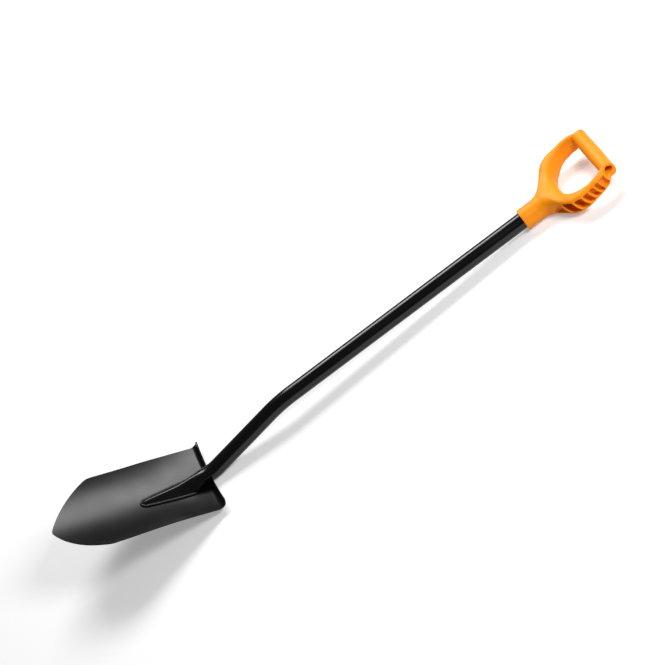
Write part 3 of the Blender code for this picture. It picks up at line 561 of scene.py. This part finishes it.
def leg_pockets(x, y, z, middle, deep):
    """The channels in the outer sides of the legs, between leaning ribs."""
    low = middle + np.maximum(-POCKET_BACK, POCKET_BACK_WALL - deep)
    high = middle + np.minimum(POCKET_FRONT, deep - 2 * POCKET_BACK_WALL)
    floor = curve_through(POCKET_FLOOR_ALONG, POCKET_FLOOR, y)
    channel = blended_max(floor - np.abs(x), np.maximum(z - high, low - z), POCKET_WALL_ROUNDING)
    start = POCKETS_START + CHANNEL_START_SLANT * (z - middle)
    channel = blended_max(channel, start - y, CHANNEL_START_ROUNDING)
    share = np.clip((high - z) / (high - low), 0, 1)
    leaned = y - curve_through(RIB_LEAN_ALONG, RIB_LEAN, y) * share ** RIB_LEAN_POWER
    channel = np.maximum(channel, leaned - POCKETS_END)
    ribs = np.min([np.abs(leaned - along) - RIB_THICKNESS / 2 for along in RIB_ALONG], axis=0)
    return blended_max(channel, -ribs, RIB_ROUNDING)


def cross_bar(x, y, z):
    """The barrel of the cross bar, which is thicker in its middle."""
    radius = BAR_MIDDLE_RADIUS + (BAR_END_RADIUS - BAR_MIDDLE_RADIUS) * (x / BAR_HALF_LENGTH) ** 2
    around = np.hypot(y - BAR_ALONG, z - BAR_MIDDLE) - radius
    return blended_max(around, np.abs(x) - BAR_HALF_LENGTH, BAR_END_ROUNDING)


def bar_bores(x, y, z):
    """The bores from both ends of the bar, up to the web."""
    around = np.hypot(y - BAR_ALONG, (z - BAR_MIDDLE - BAR_BORE_RISE) * BAR_BORE_FLATNESS)
    return blended_max(around - BAR_BORE_RADIUS, BAR_WEB / 2 - np.abs(x), BAR_BORE_BOTTOM_ROUNDING)


def grip_field():
    """Negative inside the plastic."""
    x, y, z = np.meshgrid(*grip_axes(), indexing="ij", sparse=True)
    middle = curve_through(GRIP_STATION, GRIP_MIDDLE, y)
    deep = curve_through(GRIP_STATION, GRIP_HALF_DEPTH, y)
    opening, rounding = hand_opening(y, z, middle, deep)
    socket = np.maximum(np.hypot(x, z) - TUBE_RADIUS - TOUCH, y - TUBE_TOP - TOUCH)
    seat = SCREW_HEAD_HEIGHT + TOUCH - COLLAR_RADIUS
    recess = np.maximum(np.hypot(x, y - SCREW_ALONG) - SCREW_HEAD_RADIUS - TOUCH, z - seat)
    solid = blended_max(grip_blank(x, y, z, middle, deep), -opening, rounding)
    solid = blended_min(solid, cross_bar(x, y, z), BAR_FILLET)
    solid = blended_max(solid, -leg_pockets(x, y, z, middle, deep), POCKET_MOUTH_ROUNDING)
    solid = blended_max(solid, -bar_bores(x, y, z), BAR_BORE_MOUTH_ROUNDING)
    solid = blended_max(solid, -socket, SOCKET_ROUNDING)
    return blended_max(solid, -recess, SCREW_RECESS_ROUNDING)


def surface_of(field):
    """Points, outward quads and normals of the zero surface of a field on the grip's grid. A cell that
    the surface crosses has one point, the mean of its crossed edges, and a crossed edge has one quad."""
    inside = field < 0
    cells = tuple(n - 1 for n in field.shape)
    total = np.zeros(cells + (3,))
    count = np.zeros(cells)
    edges = []
    for axis in range(3):
        first, second = (k for k in range(3) if k != axis)
        near = np.moveaxis(field, axis, 0)[:-1]
        far = np.moveaxis(field, axis, 0)[1:]
        crossed = (near < 0) != (far < 0)
        part = np.where(crossed, near / np.where(crossed, near - far, 1.0), 0.0)
        edges.append((axis, first, second, crossed))
        for i, j in ((0, 0), (0, 1), (1, 0), (1, 1)):
            window = (slice(None), slice(i, i + cells[first]), slice(j, j + cells[second]))
            hit = np.moveaxis(crossed[window], 0, axis)
            count += hit
            total[..., axis] += np.moveaxis(part[window], 0, axis)
            total[..., first] += hit * i
            total[..., second] += hit * j
    used = count > 0
    number = np.full(cells, -1)
    number[used] = np.arange(used.sum())
    places = np.argwhere(used) + total[used] / count[used][:, None]
    quads = []
    for axis, first, second, crossed in edges:
        spot = np.argwhere(crossed[:, 1:-1, 1:-1])
        start = np.empty_like(spot)
        start[:, axis] = spot[:, 0]
        start[:, first] = spot[:, 1] + 1
        start[:, second] = spot[:, 2] + 1
        corners = []
        for i, j in ((0, 0), (1, 0), (1, 1), (0, 1)):
            cell = start.copy()
            cell[:, first] += i - 1
            cell[:, second] += j - 1
            corners.append(number[tuple(cell.T)])
        quad = np.stack(corners, axis=1)
        outward = inside[tuple(start.T)] != (axis == 1)
        quads.append(np.where(outward[:, None], quad, quad[:, ::-1]))
    normals = sampled(np.stack(np.gradient(field), axis=-1), places)
    normals /= np.linalg.norm(normals, axis=1)[:, None]
    return places * GRIP_CELL + np.array(GRIP_GRID_LOW), np.vstack(quads), normals


def sampled(values, places):
    """Values of a grid at places between its points."""
    base = np.floor(places).astype(int)
    part = places - base
    result = 0.0
    for corner in np.ndindex(2, 2, 2):
        weight = np.abs(1 - np.array(corner) - part).prod(axis=1)
        result = result + weight[:, None] * values[tuple((base + corner).T)]
    return result


def make_grip(material):
    """The whole moulding as one surface, with its normals from the field."""
    points, quads, normals = surface_of(grip_field())
    grip = new_piece("moulded_grip", points, quads.tolist(), normals)
    take_place(grip, "d_grip", material)


# Node trees

class Tree:
    """A node tree with short ways to add nodes and to join them."""

    def __init__(self, tree):
        self.tree = tree

    def put(self, socket, value):
        """A link, or a plain value. None leaves the socket as it is."""
        if isinstance(value, bpy.types.NodeSocket):
            self.tree.links.new(value, socket)
        elif value is not None:
            socket.default_value = value

    def add(self, kind, *values, **settings):
        """A node with its inputs in their order."""
        node = self.tree.nodes.new(kind)
        for key, value in settings.items():
            setattr(node, key, value)
        for socket, value in zip([s for s in node.inputs if s.enabled], values):
            self.put(socket, value)
        return node

    def fill(self, node, inputs):
        """Gives inputs of a node by name."""
        for name, value in inputs.items():
            self.put(node.inputs[name], value)
        return node

    def math(self, operation, *values):
        return self.add("ShaderNodeMath", *values, operation=operation).outputs[0]

    def plus(self, a, b):
        return self.math("ADD", a, b)

    def minus(self, a, b):
        return self.math("SUBTRACT", a, b)

    def times(self, a, b):
        return self.math("MULTIPLY", a, b)

    def over(self, a, b):
        return self.math("DIVIDE", a, b)

    def ramp(self, value, low, high, start=0.0, end=1.0):
        """A value spread from one range to another and held at its ends."""
        return self.add("ShaderNodeMapRange", value, low, high, start, end).outputs[0]

    def vector(self, operation, *values):
        node = self.add("ShaderNodeVectorMath", *values, operation=operation)
        return node.outputs["Value" if operation == "DOT_PRODUCT" else "Vector"]

    def scaled(self, vector, factor):
        node = self.add("ShaderNodeVectorMath", vector, operation="SCALE")
        return self.fill(node, {"Scale": factor}).outputs["Vector"]

    def noise(self, scale, detail=2.0, roughness=0.5, place=None):
        node = self.add("ShaderNodeTexNoise")
        inputs = {"Vector": place, "Scale": scale, "Detail": detail, "Roughness": roughness}
        return self.fill(node, inputs).outputs[0]

    def curve(self, stations, values, at):
        """A Float Curve through a few stations, read at a distance. A new one has two points."""
        reach = max(stations)
        tall = max(values)
        node = self.add("ShaderNodeFloatCurve", 1.0, self.over(at, reach))
        line = node.mapping.curves[0]
        for i, (station, value) in enumerate(zip(stations, values)):
            place = (station / reach, value / tall)
            if i < 2:
                line.points[i].location = place
            else:
                line.points.new(*place)
        for spot in line.points:
            spot.handle_type = "AUTO_CLAMPED"
        node.mapping.update()
        return self.times(node.outputs[0], tall)

    def swept(self, path, radius, sides, scale=None):
        """A round section swept along a path, with closed ends."""
        ring = self.add("GeometryNodeCurvePrimitiveCircle", mode="RADIUS")
        self.fill(ring, {"Resolution": sides, "Radius": radius})
        sweep = self.add("GeometryNodeCurveToMesh")
        inputs = {"Curve": path, "Profile Curve": ring.outputs[0], "Scale": scale, "Fill Caps": True}
        return self.fill(sweep, inputs).outputs[0]


def geometry_tree(name, inputs):
    """A Geometry Nodes tree with a Geometry input and named inputs. Returns it and its inputs by name."""
    tree = bpy.data.node_groups.new(name, "GeometryNodeTree")
    tree.interface.new_socket("Geometry", in_out="INPUT", socket_type="NodeSocketGeometry")
    for label, value in inputs.items():
        kind = "NodeSocketInt" if isinstance(value, int) else "NodeSocketFloat"
        socket = tree.interface.new_socket(label, in_out="INPUT", socket_type=kind)
        socket.default_value = value
    tree.interface.new_socket("Finish", in_out="INPUT", socket_type="NodeSocketMaterial")
    tree.interface.new_socket("Geometry", in_out="OUTPUT", socket_type="NodeSocketGeometry")
    build = Tree(tree)
    return build, build.add("NodeGroupInput").outputs


def end_tree(build, geometry, finish):
    """Smooth shading, real geometry and the finish, at the end of a tree."""
    smooth = build.add("GeometryNodeSetShadeSmooth", geometry).outputs[0]
    realized = build.add("GeometryNodeRealizeInstances", smooth).outputs[0]
    painted = build.add("GeometryNodeSetMaterial", realized, None, finish).outputs[0]
    build.add("NodeGroupOutput", painted)


def grown(name, points, build, finish, radii=None, **sizes):
    """A piece that a tree grows on a line of points, laid on the ground. An input of the tree takes a
    size by its name in small letters, joined by underscores."""
    mesh = bpy.data.meshes.new(name)
    mesh.from_pydata(np.asarray(points).tolist(), [(i, i + 1) for i in range(len(points) - 1)], [])
    if radii is not None:
        mesh.attributes.new("bend_radius", "FLOAT", "POINT").data.foreach_set("value", radii)
    obj = bpy.data.objects.new(name, mesh)
    bpy.context.scene.collection.objects.link(obj)
    modifier = obj.modifiers.new(build.tree.name, "NODES")
    modifier.node_group = build.tree
    sizes["finish"] = finish
    for item in build.tree.interface.items_tree:
        label = item.name.lower().replace(" ", "_")
        if item.in_out == "INPUT" and label in sizes:
            modifier[item.identifier] = sizes[label]
    finished(obj)
    obj.data.transform(GROUND)
    return obj


# Shaft

def nose_height(build, s, across, up):
    """Height of the pressed tube over the sheet: a flat underside and a ridged crest."""
    tall = build.curve(NOSE_DISTANCE, NOSE_HEIGHT, s)
    middle = build.curve(NOSE_DISTANCE, NOSE_MIDDLE, s)
    ridge = build.minus(1.0, build.math("POWER", build.math("ABSOLUTE", across), NOSE_RIDGE_POWER))
    sharpness = build.ramp(s, NOSE_DISTANCE[0], NOSE_RIDGE_FULL)
    crown = build.math("MAXIMUM", up, 0.0)
    ridged = build.times(build.minus(ridge, crown), sharpness)
    crown = build.plus(crown, build.times(ridged, build.math("GREATER_THAN", up, 0.0)))
    upper = build.times(build.minus(tall, middle), crown)
    lower = build.times(middle, build.math("MINIMUM", up, 0.0))
    return build.plus(build.plus(middle, upper), lower)


def sheet_rise(build, s, x):
    """Height of the sheet over its tangent plane at the fold, which the nose follows from its start."""
    edge = build.curve(SIDE_STATION, SIDE_HALF_WIDTH, s)
    dish = build.curve(SIDE_STATION, SIDE_DISH, s)
    share = build.math("ABSOLUTE", build.over(x, edge))
    dished = build.times(dish, build.math("POWER", share, 2.0))
    curved = build.times(build.times(s, s), LENGTHWISE_CURVE)
    settle = build.ramp(s, NOSE_DISTANCE[0], NOSE_DISTANCE[0] + NOSE_SETTLE_LENGTH)
    return build.times(build.plus(dished, curved), settle)


def nose_place(build, s, across, up):
    """Where a point of the tube goes when its end is pressed flat on the blade."""
    width = build.curve(NOSE_DISTANCE, NOSE_HALF_WIDTH, s)
    left = build.math("MAXIMUM", build.minus(NOSE_LENGTH, s), 0.0)
    rounding = build.math("SQRT", build.times(left, 2 * NOSE_END_RADIUS))
    x = build.times(across, build.math("SMOOTH_MIN", width, rounding, NOSE_END_BLEND))
    height = build.plus(build.plus(nose_height(build, s, across, up), sheet_rise(build, s, x)), TOUCH)
    on_plane = build.vector("ADD", tuple(FOLD), build.scaled(tuple(DOWN_BLADE), s))
    sideways = build.scaled(tuple(X_AXIS), x)
    off_plane = build.vector("ADD", build.scaled(tuple(OFF_BLADE), height), sideways)
    return build.vector("ADD", on_plane, off_plane)


def neck_sag(build, s, lift, radius):
    """How far the top of the tube sinks on the inner side of the neck bend, more toward the nose."""
    back = build.minus(s, NOSE_DISTANCE[0])
    below = build.minus(build.plus(build.plus(radius, TOUCH), NECK_BEND_RADIUS), lift)
    from_bend = build.math("SQRT", build.plus(build.times(back, back), build.times(below, below)))
    inner = build.over(build.minus(NECK_BEND_RADIUS, from_bend), radius)
    part = build.ramp(s, NOSE_DISTANCE[0] - NECK_SAG_LENGTH, NOSE_DISTANCE[0])
    depth = build.times(build.times(part, part), -NECK_SAG)
    return build.scaled(tuple(OFF_BLADE), build.times(depth, build.math("MAXIMUM", inner, 0.0)))


def shaft_tree():
    """A tube with filleted bends whose end is flattened on to the blade."""
    sizes = {"Tube Radius": TUBE_RADIUS, "Sides": TUBE_SIDES, "Bend Steps": BEND_STEPS}
    build, given = geometry_tree("bent tube", sizes)
    radius = given["Tube Radius"]
    path = build.add("GeometryNodeMeshToCurve", given["Geometry"]).outputs[0]
    bend = build.add("GeometryNodeInputNamedAttribute", "bend_radius", data_type="FLOAT").outputs[0]
    bent = build.add("GeometryNodeFilletCurve", path, given["Bend Steps"], bend, mode="POLY").outputs[0]
    tube = build.swept(bent, radius, given["Sides"])

    place = build.add("GeometryNodeInputPosition").outputs[0]
    offset = build.vector("SUBTRACT", place, tuple(FOLD))
    s = build.vector("DOT_PRODUCT", offset, tuple(DOWN_BLADE))
    lift = build.vector("DOT_PRODUCT", offset, tuple(OFF_BLADE))
    across = build.over(build.add("ShaderNodeSeparateXYZ", offset).outputs["X"], radius)
    up = build.over(build.minus(lift, build.plus(radius, TOUCH)), radius)
    on_nose = build.math("GREATER_THAN", s, NOSE_DISTANCE[0])
    pressed = {"Geometry": tube, "Selection": on_nose, "Position": nose_place(build, s, across, up)}
    nosed = build.fill(build.add("GeometryNodeSetPosition"), pressed).outputs[0]
    off_nose = build.math("LESS_THAN", s, NOSE_DISTANCE[0])
    sunk = {"Geometry": nosed, "Selection": off_nose, "Offset": neck_sag(build, s, lift, radius)}
    sagged = build.fill(build.add("GeometryNodeSetPosition"), sunk).outputs[0]
    end_tree(build, sagged, given["Finish"])
    return build


def make_shaft(material):
    """The tube on the line of its bends, with close rings where it is pressed flat."""
    span = NOSE_LENGTH - NOSE_RINGS_START - NOSE_RINGS_END_GAP
    rings = NOSE_RINGS_START + span * np.sin(np.linspace(0, math.pi / 2, NOSE_RINGS))
    points = [np.array([0.0, TUBE_TOP, 0.0]), np.zeros(3), NECK]
    points += [NECK + (NECK_BEHIND_FOLD + s) * DOWN_BLADE for s in rings]
    radii = [0.0, MAIN_BEND_RADIUS, NECK_BEND_RADIUS] + [0.0] * NOSE_RINGS
    shaft = grown("bent_shaft", points, shaft_tree(), material, radii)
    take_place(shaft, "shaft", material)


# Weld beads

def nose_half_width(s):
    """Half the width of the nose at a distance from the fold, round at its end."""
    width = curve_through(NOSE_DISTANCE, NOSE_HALF_WIDTH, s)
    end = np.sqrt(np.maximum(2 * NOSE_END_RADIUS * (NOSE_LENGTH - s), 0.0))
    return blended_min(width, end, NOSE_END_BLEND)


def bead_tree():
    """A weld bead along a line: a round section that swells in ripples and thins at both ends."""
    sizes = {"Bead Radius": BEAD_RADIUS, "Ripple Length": RIPPLE_LENGTH, "Ripple Depth": RIPPLE_DEPTH,
             "Step": BEAD_STEP, "Sides": BEAD_SIDES}
    build, given = geometry_tree("weld bead", sizes)
    path = build.add("GeometryNodeMeshToCurve", given["Geometry"]).outputs[0]
    even = build.add("GeometryNodeResampleCurve", mode="LENGTH")
    build.fill(even, {"Curve": path, "Length": given["Step"]})
    spline = build.add("GeometryNodeSplineParameter").outputs
    phase = build.times(build.over(spline["Length"], given["Ripple Length"]), math.pi)
    ripple = build.times(build.math("ABSOLUTE", build.math("SINE", phase)), given["Ripple Depth"])
    swell = build.times(build.minus(build.noise(BEAD_LUMP_SCALE), 0.5), BEAD_LUMP_SIZE)
    size = build.plus(build.plus(BEAD_LEAST_SIZE, ripple), swell)
    from_end = build.math("PINGPONG", spline["Factor"], 0.5)
    taper = build.ramp(from_end, 0.0, BEAD_END_SHARE, BEAD_END_SIZE, 1.0)
    scale = build.times(build.times(size, taper), given["Bead Radius"])
    end_tree(build, build.swept(even.outputs[0], 1.0, given["Sides"], scale), given["Finish"])
    return build


def nose_bead_line():
    """Round the edge of the nose, on the sheet."""
    turn = np.linspace(0, math.pi / 2, NOSE_BEAD_POINTS)
    side = BEAD_START + (NOSE_LENGTH + NOSE_BEAD_OUT - BEAD_START) * np.sin(turn)
    half = nose_half_width(np.minimum(side, NOSE_LENGTH)) + NOSE_BEAD_OUT
    half[-1] = 0.0
    s = np.concatenate([side, side[-2::-1]])
    x = np.concatenate([half, -half[-2::-1]])
    return in_shaft_frame(np.stack([x, -s, sheet_height(x, s) + NOSE_BEAD_HEIGHT], axis=1))


def neck_bead_line():
    """Under the tube, along the back of the notch in the treads."""
    tread = -np.linspace(*NECK_BEAD_SPAN, NECK_BEAD_POINTS)
    notch = np.array([notch_half_width(along) for along in tread])
    keep = (notch > 0) & (notch < NECK_BEAD_WIDEST)
    x = np.concatenate([notch[keep][::-1], -notch[keep]])
    along = np.concatenate([tread[keep][::-1], tread[keep]])
    return in_shaft_frame(sheet_point(x, along) + np.array(NECK_BEAD_OFFSET))


def make_welds(material):
    """Both beads from the same tree, the one at the neck finer."""
    build = bead_tree()
    nose = grown("nose_bead", nose_bead_line(), build, material)
    take_place(nose, "nose_weld", material)
    neck = grown("neck_bead", neck_bead_line(), build, material, bead_radius=NECK_BEAD_RADIUS)
    take_place(neck, "neck_weld", material)


# Screw

def cross_cutters(face):
    """Two crossed blocks that narrow inwards from the face of the screw's head."""
    cutters = []
    sides = [(i, (i + 1) % 4, (i + 1) % 4 + 4, i + 4) for i in range(4)]
    for half_x, half_y in ((CROSS_HALF_LENGTH, CROSS_HALF_WIDTH), (CROSS_HALF_WIDTH, CROSS_HALF_LENGTH)):
        points = []
        for share, height in ((1.0, face - CROSS_CUT_BEYOND), (CROSS_BOTTOM_SHARE, face + CROSS_DEPTH)):
            for x, y in ((1, 1), (-1, 1), (-1, -1), (1, -1)):
                points.append((x * half_x * share, SCREW_ALONG + y * half_y * share, height))
        cutters.append(new_piece("recess", points, [(3, 2, 1, 0), (4, 5, 6, 7)] + sides))
    return cutters


def make_screw(material):
    """A low round head with a cross recess on its shank. The face lies just inside the collar."""
    face = SCREW_HEAD_INSET - COLLAR_RADIUS
    outline = SCREW_HEAD_OUTLINE + SCREW_SHANK_OUTLINE
    points = []
    for radius, depth in outline:
        for i in range(SCREW_SIDES):
            turn = 2 * math.pi * i / SCREW_SIDES
            points.append((radius * math.cos(turn), SCREW_ALONG + radius * math.sin(turn), face + depth))
    faces = []
    for i in range(0, (len(outline) - 1) * SCREW_SIDES, SCREW_SIDES):
        for j in range(SCREW_SIDES):
            k = (j + 1) % SCREW_SIDES
            faces.append((i + j, i + SCREW_SIDES + j, i + SCREW_SIDES + k, i + k))
    screw = new_piece("collar_screw", points, faces)
    merge_points(screw, SCREW_MERGE_DISTANCE, closed=True)
    cutters = cross_cutters(face)
    for cutter in cutters:
        cut = screw.modifiers.new("recess", "BOOLEAN")
        cut.object = cutter
        cut.solver = "EXACT"
    finished(screw)
    for cutter in cutters:
        bpy.data.objects.remove(cutter, do_unlink=True)
    screw.data.set_sharp_from_angle(angle=SCREW_SHARP_ANGLE)
    take_place(screw, "grip_screw", material)


# Finishes

def material_tree(name):
    """A material, its tree, its shader and the place on the object that patterns read."""
    material = bpy.data.materials.new(name)
    material.use_nodes = True
    build = Tree(material.node_tree)
    shader = material.node_tree.nodes["Principled BSDF"]
    place = build.add("ShaderNodeTexCoord").outputs["Object"]
    return material, build, shader, place


def spread(build, noise, low, high):
    """The usual values of a noise spread over a range."""
    return build.ramp(noise, *NOISE_RANGE, low, high)


def bump(build, shader, height, distance, strength):
    """Relief of a depth in millimetres."""
    node = build.add("ShaderNodeBump")
    build.fill(node, {"Strength": strength, "Distance": distance * MM, "Height": height})
    build.put(shader.inputs["Normal"], node.outputs[0])


def tinted(build, shader, colours, noise):
    """Base colour that varies between two shades."""
    mix = build.add("ShaderNodeMix", spread(build, noise, 0.0, 1.0), *colours, data_type="RGBA")
    build.put(shader.inputs["Base Color"], next(socket for socket in mix.outputs if socket.enabled))


def powder_coat(name, roughness, grain_depth, level):
    """Black powder coat: a fine orange peel, faint dust and gloss that varies a little."""
    material, build, shader, place = material_tree(name)
    peel = build.noise(scale=900.0, detail=3.0, roughness=0.6, place=place)
    cloud = build.noise(scale=14.0, detail=3.0, place=place)
    speck = build.noise(scale=2600.0, detail=1.0, place=place)
    tinted(build, shader, COAT_BLACKS, speck)
    gloss = build.plus(spread(build, cloud, -0.035, 0.035), spread(build, speck, -0.03, 0.03))
    build.fill(shader, {"Roughness": build.plus(gloss, roughness), "Specular IOR Level": level})
    bump(build, shader, peel, distance=grain_depth, strength=0.6)
    return material


def moulded_plastic(name):
    """Orange plastic with a fine spark-eroded texture."""
    material, build, shader, place = material_tree(name)
    grain = build.noise(scale=1500.0, roughness=0.6, place=place)
    cloud = build.noise(scale=25.0, place=place)
    tinted(build, shader, PLASTIC_ORANGES, cloud)
    build.fill(shader, {"Roughness": spread(build, cloud, 0.42, 0.50), "Specular IOR Level": 0.2,
                        "Subsurface Weight": 0.12, "Subsurface Radius": (0.004, 0.0015, 0.0004),
                        "Subsurface Scale": 1.0})
    bump(build, shader, grain, distance=0.03, strength=0.5)
    return material


def zinc_plate(name):
    """Bright zinc with a faint spangle."""
    material, build, shader, place = material_tree(name)
    spangle = build.noise(scale=700.0, place=place)
    tinted(build, shader, ZINC_GREYS, spangle)
    build.fill(shader, {"Roughness": spread(build, spangle, 0.25, 0.4), "Metallic": 1.0})
    bump(build, shader, spangle, distance=0.02, strength=0.4)
    return material


# Studio

def add_camera():
    data = bpy.data.cameras.new("camera")
    data.sensor_width = SENSOR_WIDTH
    data.lens = CAMERA_LENS
    data.clip_end = CAMERA_REACH
    camera = bpy.data.objects.new("camera", data)
    camera.location = CAMERA_PLACE
    camera.rotation_euler = [math.radians(angle) for angle in CAMERA_TURN]
    bpy.context.scene.collection.objects.link(camera)
    bpy.context.scene.camera = camera


def add_floor():
    """A white floor that shows as white to the camera and in the gloss, and keeps a soft shadow."""
    mesh = bpy.data.meshes.new("floor")
    corners = ((-1, -1), (1, -1), (1, 1), (-1, 1))
    points = [(x * FLOOR_HALF_SIZE, y * FLOOR_HALF_SIZE, 0) for x, y in corners]
    mesh.from_pydata(points, [], [(0, 1, 2, 3)])
    floor = bpy.data.objects.new("floor", mesh)
    bpy.context.scene.collection.objects.link(floor)
    material, build, shader, _ = material_tree("pale floor")
    path = build.add("ShaderNodeLightPath").outputs
    seen = build.math("MAXIMUM", path["Is Camera Ray"], path["Is Glossy Ray"])
    seen = build.math("MAXIMUM", seen, path["Is Transmission Ray"])
    build.fill(shader, {"Base Color": (FLOOR_SHADE, FLOOR_SHADE, FLOOR_SHADE, 1.0), "Roughness": 1.0,
                        "Specular IOR Level": 0.0, "Emission Color": (1.0, 1.0, 1.0, 1.0),
                        "Emission Strength": build.times(seen, FLOOR_GLOW)})
    mesh.materials.append(material)


def add_softbox(name, place, target, length, width, power):
    """A softbox with its length level and its width leaning with its aim."""
    data = bpy.data.lights.new(name, "AREA")
    data.shape = "RECTANGLE"
    data.size = length
    data.size_y = width
    data.energy = power
    light = bpy.data.objects.new(name, data)
    light.location = place
    light.rotation_euler = (Vector(target) - Vector(place)).to_track_quat("-Z", "Y").to_euler()
    bpy.context.scene.collection.objects.link(light)


def add_world():
    world = bpy.data.worlds.new("studio")
    world.use_nodes = True
    background = world.node_tree.nodes["Background"]
    background.inputs["Color"].default_value = (1, 1, 1, 1)
    background.inputs["Strength"].default_value = WORLD_LIGHT
    bpy.context.scene.world = world


add_camera()
add_floor()
add_world()
add_softbox("far softbox", place=(-1.74, 0.72, 2.2), target=(0, 0.72, 0.05),
            length=2.2, width=1.15, power=84)
add_softbox("near softbox", place=(1.35, 1.5, 1.75), target=(0, 0.5, 0.05),
            length=0.9, width=0.9, power=48)
make_blade(powder_coat("satin powder coat", roughness=0.31, grain_depth=0.02, level=0.29))
make_shaft(powder_coat("gloss powder coat", roughness=0.2, grain_depth=0.015, level=0.4))
make_welds(powder_coat("powder coat on weld", roughness=0.32, grain_depth=0.03, level=0.3))
make_grip(moulded_plastic("moulded plastic"))
make_screw(zinc_plate("zinc plate"))
bpy.context.scene.view_settings.view_transform = "Standard"
